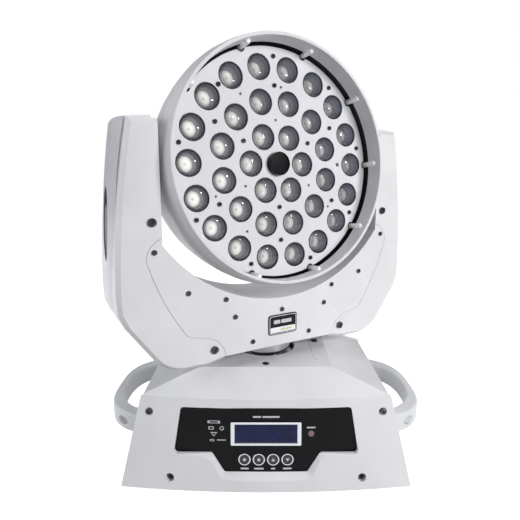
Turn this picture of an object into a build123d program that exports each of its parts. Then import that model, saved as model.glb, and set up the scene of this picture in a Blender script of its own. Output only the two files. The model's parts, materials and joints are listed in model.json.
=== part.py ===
"""Moving head wash light: base, yoke, lamp head and zooming lens plate.

Base pieces are drawn in the base frame: Z up, front towards -Y, Z = 0 at the lower rim of the covers.
Yoke pieces are drawn in the same frame before it is panned.  Head pieces are drawn in the lens frame:
X along the tilt axis, Y up and Z out of the lens plate, with the origin on the tilt axis.
"""
from build123d import *
import os
from math import asin, atan2, cos, hypot, radians, sin, sqrt

# ---- pose and placing ----
FOOT_LIFT = 2.0
PAN_ANGLE = 28.93
TILT_ANGLE = 5.65
TILT_HEIGHT = 353.4

# ---- base ----
# height, half width, half depth and end bulge at the foot, the shoulder and the flat top
FOOT = (0.0, 163.1, 107.1, 10.2)
SHOULDER = (100.8, 140.9, 87.7, 11.0)
FLAT_TOP = (126.4, 77.0, 69.2, 0.5)
COVER_WALL = 3.0
SIDE_STEP = 1.4
TAB_INNER_X = 58.0
TAB_HALF_Y = 49.0
COLLAR_HOLE_R = 38.0
END_BOSS_DEPTH = 12.0
PANEL_SINK = (9.0, 0.2)
PANEL_THICK = 2.0
PANEL_OUTLINE = ((95.0, 91.4), (103.0, 39.2), (60.4, 40.5), (46.4, 17.9))
PANEL_CORNER_R = 4.0
PANEL_BEVEL = 38.0
LCD_SIZE = (78.4, 27.0)
LCD_WINDOW = (69.5, 20.6)
LCD_UP = 62.4
BUTTON_XS = (-24.0, -8.0, 8.0, 24.0)
BUTTON_UP = 32.5
BUTTON_R = 5.1
RING_OUTER_R = 6.85
RING_INNER_R = 5.5
SENSOR_AT = (50.2, 61.9)
SENSOR_R = 3.4
COVER_SCREW_AT = (131.0, 85.2)
DEEP_SCREW_AT = (107.0, 13.5)
SCREW_HEAD_R = 3.6
SCREW_HOLE_R = 1.2
SOCKET_XS = (-104.0, -70.0, 8.0, 40.0, 72.0, 104.0)
SWITCH_X = -32.0
SOCKET_UP = 50.0
SOCKET_FLANGE = (26.0, 31.0)
SOCKET_BODY_R = 11.8
SOCKET_MOUTH_R = 9.2
SWITCH_SIZE = (15.0, 21.0)
REAR_POCKET = (248.0, 44.0)
REAR_FLOOR_DEPTH = 8.5
HANDLE_LOW = 49.5
HANDLE_HIGH = 72.5
HANDLE_OUTER = ((136.0, 84.0), (152.0, 81.0), (179.0, 61.0), (190.0, 34.0))
HANDLE_INNER = ((136.0, 67.0), (151.0, 62.5), (167.5, 48.5), (177.5, 27.5))
HANDLE_SCREW_Y = 72.0
CHASSIS_HALF = (148.0, 96.0)
CHASSIS_LOW = 5.0
CHASSIS_THICK = 2.5
CLAMP_SPACING = (106.0, 130.0)
CLAMP_HOLE_R = 4.3
SAFETY_AT = (100.0, 118.0)
SAFETY_HOLE_R = 4.5
SAFETY_TAB_END = 125.5
SHAFT_R = 25.0
SHAFT_BORE_R = 15.0
RUNNING_GAP = 0.05
COLLAR_R = 33.0
COLLAR_LOW = 127.0
YOKE_LOW = 141.0
PAN_PULLEY_R = 38.0
PAN_MOTOR_X = 82.0
MOTOR_PULLEY_R = 8.0
MOTOR_SHAFT_R = 2.5
BELT_GAP = 0.35
BELT_THICK = 1.6

# ---- yoke ----
FRAME_KNEE_X = 122.5
FRAME_WIDTH = 60.0
PLATE_Y = 40.8
PLATE_THICK = 2.5
SEAM_GAP = 0.4
ARC_CENTRE_Z = 375.5
ARC_R = 175.5
ARM_INNER_X = 143.0
ARM_TOP = 395.0
SHELL_DEPTH = 35.5
SHELL_BEVEL = 40.0
SHELL_GROW = 3.4
ARM_WALL = 2.6
CAP_HALF_Y = 31.0
CAP_CORNER_R = 7.0
CAP_CROWN = 4.0
CAP_SEAT = 0.8
CAP_TOP = 403.5
CAP_SIDE = ((178.8, 400.5), (189.8, 310.0), (191.8, 207.0))
INLAY_SPAN = (255.0, 333.0)
INLAY_RECESS = 1.2
TILT_SHAFT_R = 12.0
TILT_PULLEY_R = 30.0
TILT_MOTOR_Z = 205.0
BADGE = (40.0, 25.0)
BADGE_Z = 167.0
SMALL_SCREWS = ((151.9, 266.9), (117.1, 220.0), (73.4, 207.4), (62.1, 185.3), (39.7, 151.5), (0.0, 185.5))
LARGE_SCREWS = ((153.0, 297.5), (88.4, 150.8))

# ---- head ----
BEZEL_PROFILE = ((132.5, 55.6), (136.0, 55.6), (138.4, 45.0), (139.8, 34.0))
BEZEL_BACK = 34.0
HOUSING_PROFILE = ((139.8, 34.0), (140.0, 24.0), (138.8, 8.0), (136.0, -14.0), (131.8, -38.0), (126.0, -60.0))
REAR_PROFILE = ((126.0, -60.0), (118.0, -77.0), (105.0, -90.0), (88.0, -96.0))
HOUSING_WALL = 3.0
RIB_R = 3.2
RIB_CENTRE_R = 131.4
RIB_SPAN = (27.0, 47.0)
PLATE_FRONT = 28.2
LENS_PLATE_R = 130.0
NOTCH_R = 4.6
LENS_R = 14.5
LENS_RINGS = ((34.4, 6), (70.8, 12), (108.0, 18))
TUBE_R = 13.4
ZOOM_SCREW_AT = (87.0, 0.0)
ZOOM_SCREW_R = 2.4
BOARD_R = 122.0
BOARD_FRONT = -5.0
SINK_R = 108.0
FAN_R = 58.0
HEAD_SCREWS = tuple((119.5, a) for a in (90, 50, 10, -30, -70, -110, -150, 170))
MID_SCREWS = tuple((87.6, a) for a in (90, 30, -30, -90, -150, 150))
INNER_SCREWS = tuple((49.3, a) for a in (150, 30, -90))
PLATE_SCREWS = HEAD_SCREWS + MID_SCREWS + INNER_SCREWS + ((108.0, 130),)
PLATE_HOLES = ((87.0, 120), (87.0, -120), (87.0, 84), (87.0, -36), (87.0, -156), (49.4, 90), (49.4, -30), (49.4, -150))

BASE_PLACE = Location((0, 0, FOOT_LIFT))
YOKE_PLACE = Location((0, 0, FOOT_LIFT), (0, 0, PAN_ANGLE))
HEAD_PLACE = YOKE_PLACE * Location((0, 0, TILT_HEIGHT)) * Location((0, 0, 0), (90 - TILT_ANGLE, 0, 0))


def polar(radius, angle):
    return (radius * cos(radians(angle)), radius * sin(radians(angle)))


# ---------------------------------------------------------------- base outline


def base_section(station, inset, sink):
    """One closed outline of the base, with bulged front and rear ends."""
    height, half_x, half_y, bulge = station
    x = half_x - inset
    y = half_y - inset - sink
    z = height - inset if height else 0.0
    with BuildSketch(Plane.XY.offset(z)) as section:
        with BuildLine():
            ThreePointArc((-x, -y), (0, -y - bulge), (x, -y))
            Line((x, -y), (x, y))
            ThreePointArc((x, y), (0, y + bulge), (-x, y))
            Line((-x, y), (-x, -y))
        make_face()
    return section.sketch


def base_body(inset=0.0, sinks=(0.0, 0.0, 0.0)):
    """The whole base as a solid, drawn in by inset, with its ends drawn in further by sinks."""
    stations = (FOOT, SHOULDER, FLAT_TOP)
    sections = [base_section(s, inset, sink) for s, sink in zip(stations, sinks)]
    with BuildPart() as body:
        loft(sections[:2], ruled=True)
        loft(sections[1:], ruled=True)
    return body.part


def column(points, low=-5.0, high=135.0):
    """An upright prism over a closed outline."""
    with BuildPart() as prism:
        with BuildSketch(Plane.XY.offset(low)):
            with BuildLine():
                Polyline(*points, close=True)
            make_face()
        extrude(amount=high - low)
    return prism.part


def end_column(side):
    """The part of the base that the front (-1) or rear (1) cover takes, bounded by the hip lines."""
    run = ((FLAT_TOP[1], 0.0), FLAT_TOP[1:3], SHOULDER[1:3], FOOT[1:3], (200.0, 139.4), (200.0, 160.0))
    right = [(x, side * y) for x, y in run]
    left = [(-x, y) for x, y in reversed(right)]
    return column(right + left)


def tab_column(side, grow=0.0):
    """The rounded flange of a side cover that reaches onto the flat top."""
    with BuildPart() as tab:
        centre = side * (TAB_INNER_X + FLAT_TOP[1]) / 2
        with BuildSketch(Plane.XY.offset(118.0)) as outline:
            with Locations((centre + side * 10.0, 0)):
                RectangleRounded(FLAT_TOP[1] - TAB_INNER_X + 20.0 + 2 * grow, 2 * (TAB_HALF_Y + grow), 7.0)
            with Locations((side * (FLAT_TOP[1] + 20.0), 0)):
                Rectangle(40.0, 120.0, mode=Mode.SUBTRACT)
        extrude(amount=20.0)
    return tab.part


def front_plane(x, up, depth=0.0):
    """Plane on the front face, its Z out of the face; up is measured along the face."""
    rise = up / hypot(SHOULDER[0], FOOT[2] - SHOULDER[2])
    half = FOOT[1] + (SHOULDER[1] - FOOT[1]) * rise
    bulge = FOOT[3] + (SHOULDER[3] - FOOT[3]) * rise
    y = -(FOOT[2] + (SHOULDER[2] - FOOT[2]) * rise) - bulge * (1 - (x / half) ** 2)
    lean = (FOOT[2] - SHOULDER[2]) / SHOULDER[0]
    normal = Vector(2 * bulge * x / half ** 2, -1.0, lean).normalized()
    origin = Vector(x, y, SHOULDER[0] * rise) - normal * depth
    return Plane(origin=origin, x_dir=(1, 0, 0), z_dir=normal)


def rear_plane(x, up, depth=0.0):
    """Plane on the rear connector floor, its Z out of the base and its X towards -X."""
    lean = atan2(FOOT[2] - SHOULDER[2], SHOULDER[0])
    normal = Vector(0, cos(lean), sin(lean))
    apex = Vector(0, FOOT[2] + FOOT[3], 0)
    upward = Vector(0, -sin(lean), cos(lean))
    origin = apex + Vector(x, 0, 0) + upward * up - normal * (REAR_FLOOR_DEPTH + depth)
    return Plane(origin=origin, x_dir=(-1, 0, 0), z_dir=normal)


def panel_plane(x=0.0, up=0.0, proud=0.0):
    """Plane on the control panel, following its shallow curve sideways."""
    foot_y = -(FOOT[2] - PANEL_SINK[0]) - FOOT[3]
    top_y = -(SHOULDER[2] - PANEL_SINK[1]) - SHOULDER[3]
    lean = atan2(top_y - foot_y, SHOULDER[0])
    normal = Vector(0, -cos(lean), sin(lean))
    upward = Vector(0, sin(lean), cos(lean))
    sag = FOOT[3] * (x / 152.0) ** 2
    origin = Vector(x, foot_y + sag, 0) + upward * up + normal * proud
    return Plane(origin=origin, x_dir=(1, 0, 0), z_dir=normal)


def panel_outline(grow):
    """The stepped outline of the control panel on the plane it is drawn on."""
    right = list(PANEL_OUTLINE)
    left = [(-x, y) for x, y in reversed(right)]
    with BuildSketch() as outline:
        with BuildLine():
            Polyline(*right, *left, close=True)
        make_face()
        if grow:
            offset(amount=grow, kind=Kind.INTERSECTION)
        fillet(outline.vertices(), PANEL_CORNER_R)
    return outline.sketch


def panel_prism(grow, start=-30.0, length=60.0, taper=0.0):
    """A prism through the front face over the panel outline."""
    plane = panel_plane(proud=start)
    with BuildPart() as prism:
        extrude(plane.location * panel_outline(grow), amount=length, taper=taper)
    return prism.part


def end_boss(prism):
    """Extra wall behind a recess, following the outside of the base."""
    deep = (END_BOSS_DEPTH, END_BOSS_DEPTH, END_BOSS_DEPTH)
    with BuildPart() as boss:
        add(base_body())
        add(base_body(0.0, deep), mode=Mode.SUBTRACT)
        add(prism, mode=Mode.INTERSECT)
    return boss.part


# ---------------------------------------------------------------- base pieces


def base_chassis():
    """Steel floor tray with low side flanges, clamp holes and the safety-cable tab."""
    half_x, half_y = CHASSIS_HALF
    with BuildPart() as base_chassis:
        with BuildSketch(Plane.XY.offset(CHASSIS_LOW)):
            RectangleRounded(2 * half_x, 2 * half_y, 6.0)
            with Locations((SAFETY_AT[0], half_y + 10.0)):
                RectangleRounded(20.0, 2 * (SAFETY_TAB_END - half_y - 10.0), 4.0)
        extrude(amount=CHASSIS_THICK)
        for side in (-1, 1):
            with Locations((side * (half_x - 1.25), 0, CHASSIS_LOW)):
                Box(2.5, 2 * half_y - 30.0, 16.0, align=(Align.CENTER, Align.CENTER, Align.MIN))
        with Locations(Plane.XY.offset(CHASSIS_LOW)):
            with GridLocations(*CLAMP_SPACING, 2, 2):
                Hole(CLAMP_HOLE_R, depth=CHASSIS_THICK * 2)
            with Locations(SAFETY_AT):
                Hole(SAFETY_HOLE_R, depth=CHASSIS_THICK * 2)
    return base_chassis


def base_front_cover():
    """Front moulding: bulged face with the panel recess, front slope and half of the flat top."""
    boss = end_boss(panel_prism(9.0))
    window = panel_prism(0.0)
    bevel = panel_prism(0.0, 0.0, 14.0, -PANEL_BEVEL)
    with BuildPart() as base_front_cover:
        add(base_body())
        add(base_body(COVER_WALL), mode=Mode.SUBTRACT)
        add(boss)
        for side in (-1, 1):
            with BuildSketch(front_plane(side * DEEP_SCREW_AT[0], DEEP_SCREW_AT[1], 11.0)):
                Circle(7.5)
            extrude(amount=10.0)
        add(end_column(-1), mode=Mode.INTERSECT)
        for side in (-1, 1):
            add(tab_column(side, SEAM_GAP), mode=Mode.SUBTRACT)
        add(window, mode=Mode.SUBTRACT)
        add(bevel, mode=Mode.SUBTRACT)
        Cylinder(COLLAR_HOLE_R, 300.0, mode=Mode.SUBTRACT)
        for side in (-1, 1):
            with BuildSketch(front_plane(side * DEEP_SCREW_AT[0], DEEP_SCREW_AT[1], 8.0)):
                Circle(4.8)
            extrude(amount=20.0, mode=Mode.SUBTRACT)
            with BuildSketch(front_plane(side * COVER_SCREW_AT[0], COVER_SCREW_AT[1], 1.2)):
                Circle(4.6)
            extrude(amount=12.0, mode=Mode.SUBTRACT)
            for x, up, depth in ((*DEEP_SCREW_AT, 8.0), (*COVER_SCREW_AT, 1.2)):
                with BuildSketch(front_plane(side * x, up, depth)):
                    Circle(SCREW_HOLE_R)
                extrude(amount=-6.0, mode=Mode.SUBTRACT)
        with Locations((0, -60.0, FLAT_TOP[0] - 1.0)):
            Cylinder(4.4, 4.0, align=(Align.CENTER, Align.CENTER, Align.MIN), mode=Mode.SUBTRACT)
            Cylinder(SCREW_HOLE_R, 12.0, mode=Mode.SUBTRACT)
    return base_front_cover


def base_rear_cover():
    """Rear moulding with a flat connector recess."""
    floor = rear_plane(0.0, SOCKET_UP)
    width, height = REAR_POCKET
    with BuildPart() as block:
        with BuildSketch(floor.offset(-30.0)):
            RectangleRounded(width + 16.0, height + 16.0, 6.0)
        extrude(amount=60.0)
    boss = end_boss(block.part)
    with BuildPart() as base_rear_cover:
        add(base_body())
        add(base_body(COVER_WALL), mode=Mode.SUBTRACT)
        add(boss)
        add(end_column(1), mode=Mode.INTERSECT)
        for side in (-1, 1):
            add(tab_column(side, SEAM_GAP), mode=Mode.SUBTRACT)
        with BuildSketch(floor):
            RectangleRounded(width, height, 5.0)
        extrude(amount=40.0, taper=-20.0, mode=Mode.SUBTRACT)
        for x in SOCKET_XS:
            with BuildSketch(rear_plane(x, SOCKET_UP, 20.0)):
                Circle(SOCKET_BODY_R)
            extrude(amount=40.0, mode=Mode.SUBTRACT)
        with BuildSketch(rear_plane(SWITCH_X, SOCKET_UP, 20.0)):
            Rectangle(SWITCH_SIZE[0] + 3.0, SWITCH_SIZE[1] + 3.0)
        extrude(amount=40.0, mode=Mode.SUBTRACT)
        Cylinder(COLLAR_HOLE_R, 300.0, mode=Mode.SUBTRACT)
        with Locations((100.0, 110.0, 0.0)):
            Box(21.0, 40.0, 2 * (CHASSIS_LOW + CHASSIS_THICK), mode=Mode.SUBTRACT)
        for side in (-1, 1):
            with Locations((side * DEEP_SCREW_AT[0], 100.0, 84.0)):
                Cylinder(4.6, 60.0, rotation=(90, 0, 0), mode=Mode.SUBTRACT)
    return base_rear_cover


def side_cover(side):
    """Flank and side wall of the base, stepped in from the end covers, with a flange on the flat top."""
    with BuildPart() as cover:
        add(base_body(SIDE_STEP))
        add(base_body(SIDE_STEP + COVER_WALL), mode=Mode.SUBTRACT)
        for end in (-1, 1):
            add(end_column(end), mode=Mode.SUBTRACT)
        with Locations((-side * 100.0, 0, 60.0)):
            Box(200.0, 300.0, 200.0, mode=Mode.SUBTRACT)
        add(side_tab(side))
        for y in (-HANDLE_SCREW_Y, HANDLE_SCREW_Y):
            with Locations((side * 148.0, y, (HANDLE_LOW + HANDLE_HIGH) / 2)):
                Cylinder(2.6, 40.0, rotation=(0, 90, 0), mode=Mode.SUBTRACT)
    return cover


def side_tab(side):
    """The flange itself, level with the flat top."""
    with BuildPart() as tab:
        add(base_body())
        add(base_body(COVER_WALL + 1.4), mode=Mode.SUBTRACT)
        add(tab_column(side), mode=Mode.INTERSECT)
        with Locations((side * 65.5, side * 12.0, FLAT_TOP[0])):
            Cylinder(SCREW_HOLE_R, 20.0, mode=Mode.SUBTRACT)
    return tab.part


def control_panel():
    """Black overlay that fills the front recess, with windows for the display, buttons and sensor."""
    with BuildPart() as control_panel:
        add(base_body(0.0, (PANEL_SINK[0], PANEL_SINK[1], 0.0)))
        sinks = (PANEL_SINK[0] + PANEL_THICK, PANEL_SINK[1] + PANEL_THICK, 0.0)
        add(base_body(0.0, sinks), mode=Mode.SUBTRACT)
        add(panel_prism(-0.1), mode=Mode.INTERSECT)
        with BuildSketch(panel_plane(up=LCD_UP, proud=-8.0)):
            Rectangle(LCD_SIZE[0], LCD_SIZE[1])
        extrude(amount=16.0, mode=Mode.SUBTRACT)
        for x in BUTTON_XS:
            with BuildSketch(panel_plane(x, BUTTON_UP, -8.0)):
                Circle(RING_OUTER_R + 0.05)
            extrude(amount=16.0, mode=Mode.SUBTRACT)
        with BuildSketch(panel_plane(SENSOR_AT[0], SENSOR_AT[1], -8.0)):
            Circle(SENSOR_R + 0.05)
        extrude(amount=16.0, mode=Mode.SUBTRACT)
    return control_panel


def lcd_bezel():
    """Silver frame round the display."""
    with BuildPart() as lcd_bezel:
        with BuildSketch(panel_plane(up=LCD_UP, proud=-3.0)):
            RectangleRounded(LCD_SIZE[0] - 0.2, LCD_SIZE[1] - 0.2, 1.2)
            Rectangle(*LCD_WINDOW, mode=Mode.SUBTRACT)
        extrude(amount=4.2)
        front = lcd_bezel.faces().sort_by(Axis.Y).first
        chamfer(front.inner_wires().edges(), 0.7)
    return lcd_bezel


def lcd_screen():
    """Display glass, set just behind the face of its frame."""
    with BuildPart() as lcd_screen:
        with BuildSketch(panel_plane(up=LCD_UP, proud=-3.0)):
            Rectangle(LCD_WINDOW[0] - 0.1, LCD_WINDOW[1] - 0.1)
        extrude(amount=3.2)
    return lcd_screen


def button_rings():
    """Four bright guide rings round the buttons."""
    with BuildPart() as button_rings:
        for x in BUTTON_XS:
            with BuildSketch(panel_plane(x, BUTTON_UP, -4.0)):
                Circle(RING_OUTER_R)
                Circle(RING_INNER_R, mode=Mode.SUBTRACT)
            extrude(amount=4.9)
    return button_rings


def panel_button(index):
    """A round push button with a slightly domed cap."""
    with BuildPart() as button:
        with BuildSketch(panel_plane(BUTTON_XS[index], BUTTON_UP, -6.0)):
            Circle(BUTTON_R)
        extrude(amount=6.6)
        fillet(button.edges().group_by(Axis.Y)[0], 0.5)
    return button


def sensor_window():
    """Round sensor lens beside the display."""
    with BuildPart() as sensor_window:
        with BuildSketch(panel_plane(SENSOR_AT[0], SENSOR_AT[1], -3.0)):
            Circle(SENSOR_R)
        extrude(amount=3.5)
    return sensor_window


def screw(plane, head_r, head_h, shank_r, shank_l):
    """One screw with its head standing on the plane and a hexagon socket in the head."""
    with BuildPart() as one:
        with BuildSketch(plane):
            Circle(head_r)
        extrude(amount=head_h)
        with BuildSketch(plane.offset(head_h)):
            RegularPolygon(head_r * 0.5, 6)
        extrude(amount=-head_h * 0.6, mode=Mode.SUBTRACT)
        with BuildSketch(plane):
            Circle(shank_r)
        extrude(amount=-shank_l)
    return one.part


def base_screws():
    """The black screws that hold the covers."""
    with BuildPart() as base_screws:
        for side in (-1, 1):
            add(screw(front_plane(side * COVER_SCREW_AT[0], COVER_SCREW_AT[1], 1.2), SCREW_HEAD_R, 1.6, 1.0, 1.0))
            add(screw(front_plane(side * DEEP_SCREW_AT[0], DEEP_SCREW_AT[1], 8.0), SCREW_HEAD_R, 2.6, 1.0, 1.0))
        add(screw(Plane.XY.offset(FLAT_TOP[0] - 1.0).move(Location((0, -60.0, 0))), SCREW_HEAD_R, 1.4, 1.0, 1.0))
        for side in (-1, 1):
            top = Plane.XY.offset(FLAT_TOP[0]).move(Location((side * 65.5, side * 12.0, 0)))
            add(screw(top, 4.2, 1.6, 1.0, 0.5))
    return base_screws


def handle_seat(side, y):
    """Plane at the bottom of a handle counterbore, facing outwards."""
    return Plane(origin=(side * 156.5, y, (HANDLE_LOW + HANDLE_HIGH) / 2), x_dir=(0, 1, 0), z_dir=(side, 0, 0))


def carry_handle(side):
    """A D-shaped carrying loop, cut to sit against the sloping side of the base."""
    with BuildPart() as handle:
        with BuildSketch(Plane.XY.offset(HANDLE_LOW)):
            for edge, tip, mode in ((HANDLE_OUTER, 192.0, Mode.ADD), (HANDLE_INNER, 180.4, Mode.SUBTRACT)):
                upper = [(x * side, y) for x, y in edge]
                lower = [(x * side, -y) for x, y in reversed(edge)]
                with BuildLine():
                    Spline(*upper, (tip * side, 0), *lower)
                    Line(lower[-1], upper[0])
                make_face(mode=mode)
        extrude(amount=HANDLE_HIGH - HANDLE_LOW)
        rims = handle.edges().filter_by(GeomType.BSPLINE)
        fillet(rims, 3.2)
        add(base_body(SIDE_STEP), mode=Mode.SUBTRACT)
        for y in (-HANDLE_SCREW_Y, HANDLE_SCREW_Y):
            with BuildSketch(handle_seat(side, y)):
                Circle(5.0)
            extrude(amount=30.0, mode=Mode.SUBTRACT)
            with BuildSketch(handle_seat(side, y)):
                Circle(2.6)
            extrude(amount=-30.0, mode=Mode.SUBTRACT)
    return handle


def handle_screws():
    """Four socket screws at the bottom of the handle counterbores."""
    with BuildPart() as handle_screws:
        for side in (-1, 1):
            for y in (-HANDLE_SCREW_Y, HANDLE_SCREW_Y):
                add(screw(handle_seat(side, y), 4.3, 4.0, 2.5, 18.0))
    return handle_screws


def rubber_feet():
    """Four rubber feet under the tray."""
    with BuildPart() as rubber_feet:
        with Locations(Plane.XY.offset(-FOOT_LIFT)):
            with GridLocations(240.0, 150.0, 2, 2):
                Cylinder(11.0, CHASSIS_LOW + FOOT_LIFT, align=(Align.CENTER, Align.CENTER, Align.MIN))
        fillet(rubber_feet.edges().group_by(Axis.Z)[0], 1.2)
    return rubber_feet


def pan_pedestal():
    """Four pillars and a ring that hold the pan bearing above the tray."""
    low = CHASSIS_LOW + CHASSIS_THICK
    with BuildPart() as pan_pedestal:
        with Locations(Plane.XY.offset(low)):
            with PolarLocations(51.0, 4, start_angle=45):
                Cylinder(5.0, 97.0, align=(Align.CENTER, Align.CENTER, Align.MIN))
        with BuildSketch(Plane.XY.offset(102.0)):
            Circle(57.0)
            Circle(34.0 + RUNNING_GAP, mode=Mode.SUBTRACT)
        extrude(amount=6.0)
    return pan_pedestal


def pan_bearing():
    """Flanged ring that the pan shaft turns in."""
    with BuildPart() as pan_bearing:
        with BuildSketch(Plane.XY.offset(98.0)):
            Circle(34.0)
        extrude(amount=22.0)
        with BuildSketch(Plane.XY.offset(108.0)):
            Circle(37.0)
        extrude(amount=4.0)
        Cylinder(SHAFT_R + RUNNING_GAP, 400.0, mode=Mode.SUBTRACT)
    return pan_bearing


def stepper_motor(plane, length):
    """A square motor body with chamfered corners and a round shaft bore."""
    with BuildPart() as motor:
        with BuildSketch(plane) as flange:
            Rectangle(42.0, 42.0)
            chamfer(flange.vertices(), 4.0)
        extrude(amount=-length)
        with BuildSketch(plane):
            Circle(MOTOR_SHAFT_R + RUNNING_GAP)
        extrude(amount=-length * 0.6, mode=Mode.SUBTRACT)
    return motor


def motor_pulley(plane, shaft_in):
    """A small flanged pulley on its motor shaft."""
    with BuildPart() as pulley:
        with BuildSketch(plane.offset(2.0)):
            Circle(MOTOR_PULLEY_R)
        extrude(amount=14.0)
        for start in (2.0, 14.5):
            with BuildSketch(plane.offset(start)):
                Circle(MOTOR_PULLEY_R + 2.5)
            extrude(amount=1.5)
        with BuildSketch(plane.offset(-shaft_in)):
            Circle(MOTOR_SHAFT_R)
        extrude(amount=shaft_in + 18.0)
    return pulley


def drive_belt(plane, span, large_r):
    """A closed belt round a large pulley at the plane's origin and a motor pulley at x = span."""
    with BuildPart() as belt:
        outlines = []
        for extra in (BELT_GAP + BELT_THICK, BELT_GAP):
            big = large_r + extra
            small = MOTOR_PULLEY_R + extra
            turn = asin((large_r - MOTOR_PULLEY_R) / span)
            cx, cy = sin(turn), cos(turn)
            with BuildSketch(plane) as loop:
                with BuildLine():
                    Line((big * cx, big * cy), (span + small * cx, small * cy))
                    ThreePointArc((span + small * cx, small * cy), (span + small, 0), (span + small * cx, -small * cy))
                    Line((span + small * cx, -small * cy), (big * cx, -big * cy))
                    ThreePointArc((big * cx, -big * cy), (-big, 0), (big * cx, big * cy))
                make_face()
            outlines.append(loop.sketch)
            extrude(amount=9.0, mode=Mode.ADD if extra > BELT_GAP else Mode.SUBTRACT)
    return belt


def pan_motor():
    return stepper_motor(Plane.XY.offset(62.0).move(Location((PAN_MOTOR_X, 0, 0))), 40.0)


def pan_motor_pulley():
    return motor_pulley(Plane.XY.offset(62.0).move(Location((PAN_MOTOR_X, 0, 0))), 20.0)


def pan_belt():
    return drive_belt(Plane.XY.offset(66.5), PAN_MOTOR_X, PAN_PULLEY_R)


def power_supply():
    """Boxed switching supply with a vented lid."""
    with BuildPart() as power_supply:
        with Locations((-98.0, 0, CHASSIS_LOW + CHASSIS_THICK)):
            Box(64.0, 130.0, 38.0, align=(Align.CENTER, Align.CENTER, Align.MIN))
        fillet(power_supply.edges().filter_by(Axis.Z), 2.0)
        with Locations((-98.0, 0, 45.5)):
            with GridLocations(11.0, 20.0, 5, 6):
                Cylinder(3.0, 4.0, mode=Mode.SUBTRACT)
    return power_supply


def rear_sockets():
    """Panel sockets for power and data, and the bezel of the power switch."""
    with BuildPart() as rear_sockets:
        for index, x in enumerate(SOCKET_XS):
            plane = rear_plane(x, SOCKET_UP)
            with BuildSketch(plane):
                RectangleRounded(*SOCKET_FLANGE, 3.0)
            extrude(amount=2.0)
            with BuildSketch(plane):
                Circle(SOCKET_BODY_R - RUNNING_GAP)
            extrude(amount=-16.0)
            with BuildSketch(plane.offset(2.0)):
                Circle(SOCKET_MOUTH_R)
            extrude(amount=-15.0, mode=Mode.SUBTRACT)
            with BuildSketch(plane.offset(-13.0)):
                with PolarLocations(4.6, 3 if index > 1 else 2, start_angle=90):
                    Circle(1.2)
            extrude(amount=5.0)
        plane = rear_plane(SWITCH_X, SOCKET_UP)
        with BuildSketch(plane):
            RectangleRounded(SWITCH_SIZE[0] + 7.0, SWITCH_SIZE[1] + 7.0, 2.0)
        extrude(amount=2.0)
        with BuildSketch(plane):
            Rectangle(SWITCH_SIZE[0] + 2.9, SWITCH_SIZE[1] + 2.9)
        extrude(amount=-14.0)
        with BuildSketch(plane.offset(2.0)):
            Rectangle(*SWITCH_SIZE)
        extrude(amount=-14.0, mode=Mode.SUBTRACT)
    return rear_sockets


def switch_rocker():
    """Rocker of the power switch, dished about its pivot."""
    plane = rear_plane(SWITCH_X, SOCKET_UP)
    side_view = Plane(origin=plane.origin, x_dir=plane.y_dir, z_dir=-plane.x_dir)
    half = SWITCH_SIZE[1] / 2 - 1.2
    with BuildPart() as switch_rocker:
        with BuildSketch(side_view) as profile:
            with BuildLine():
                Polyline((-half, 1.4), (-half + 1.0, -4.0), (0, -6.0), (half - 1.0, -4.0), (half, 1.4))
                ThreePointArc((half, 1.4), (0, 0.2), (-half, 1.4))
            make_face()
        extrude(amount=SWITCH_SIZE[0] / 2 - 0.5, both=True)
    return switch_rocker


# ---------------------------------------------------------------- yoke pieces


def pan_shaft():
    """Hollow pan shaft with the bright collar that carries the yoke."""
    with BuildPart() as pan_shaft:
        with BuildSketch(Plane.XY.offset(58.0)):
            Circle(SHAFT_R)
        extrude(amount=YOKE_LOW - 58.0)
        with BuildSketch(Plane.XY.offset(COLLAR_LOW)):
            Circle(COLLAR_R)
        extrude(amount=YOKE_LOW - COLLAR_LOW)
        chamfer(pan_shaft.edges().filter_by(GeomType.CIRCLE).filter_by_position(Axis.Z, 126.0, 128.0), 0.8)
        Cylinder(SHAFT_BORE_R, 400.0, mode=Mode.SUBTRACT)
    return pan_shaft


def pan_pulley():
    """Toothless rim pulley clamped on the pan shaft."""
    with BuildPart() as pan_pulley:
        with BuildSketch(Plane.XY.offset(65.5)):
            Circle(PAN_PULLEY_R)
            Circle(SHAFT_R + RUNNING_GAP, mode=Mode.SUBTRACT)
        extrude(amount=11.0)
        with PolarLocations(31.5, 8):
            Cylinder(3.5, 400.0, mode=Mode.SUBTRACT)
    return pan_pulley


def yoke_frame():
    """Bent steel strap inside the yoke: floor, two knees and two uprights."""
    low = YOKE_LOW
    outside = ((FRAME_KNEE_X, low), (153.2, low + 30.7), (153.2, 386.0))
    inside = ((150.8, 386.0), (150.8, low + 31.7), (121.5, low + 2.4))
    right = outside + inside
    left = tuple((-x, z) for x, z in reversed(right))
    with BuildPart() as yoke_frame:
        with BuildSketch(Plane.XZ.offset(FRAME_WIDTH / 2)):
            with BuildLine():
                Polyline(*right, *left, close=True)
            make_face()
        extrude(amount=-FRAME_WIDTH)
        Cylinder(SHAFT_BORE_R, 600.0, mode=Mode.SUBTRACT)
        with Locations((0, 0, TILT_HEIGHT)):
            Cylinder(20.0 + RUNNING_GAP, 600.0, rotation=(0, 90, 0), mode=Mode.SUBTRACT)
        with Locations((152.0, 0, TILT_MOTOR_Z)):
            Box(60.0, 42.6, 42.6, mode=Mode.SUBTRACT)
    return yoke_frame


def seam_run():
    """Right-hand seam between the front plate and the arm shell, from the arc end down to the lower edge."""
    with BuildLine() as seam:
        ThreePointArc((ARM_INNER_X, 281.0), (155.6, 272.4), (160.8, 258.0))
        ThreePointArc((160.8, 258.0), (145.2, 216.2), (124.1, 178.3))
        ThreePointArc((124.1, 178.3), (120.3, 173.0), (114.8, 169.7))
        Line((114.8, 169.7), (98.8, 165.9))
        ThreePointArc((98.8, 165.9), (82.6, 157.8), (74.8, 140.5))
    return seam.line


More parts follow.
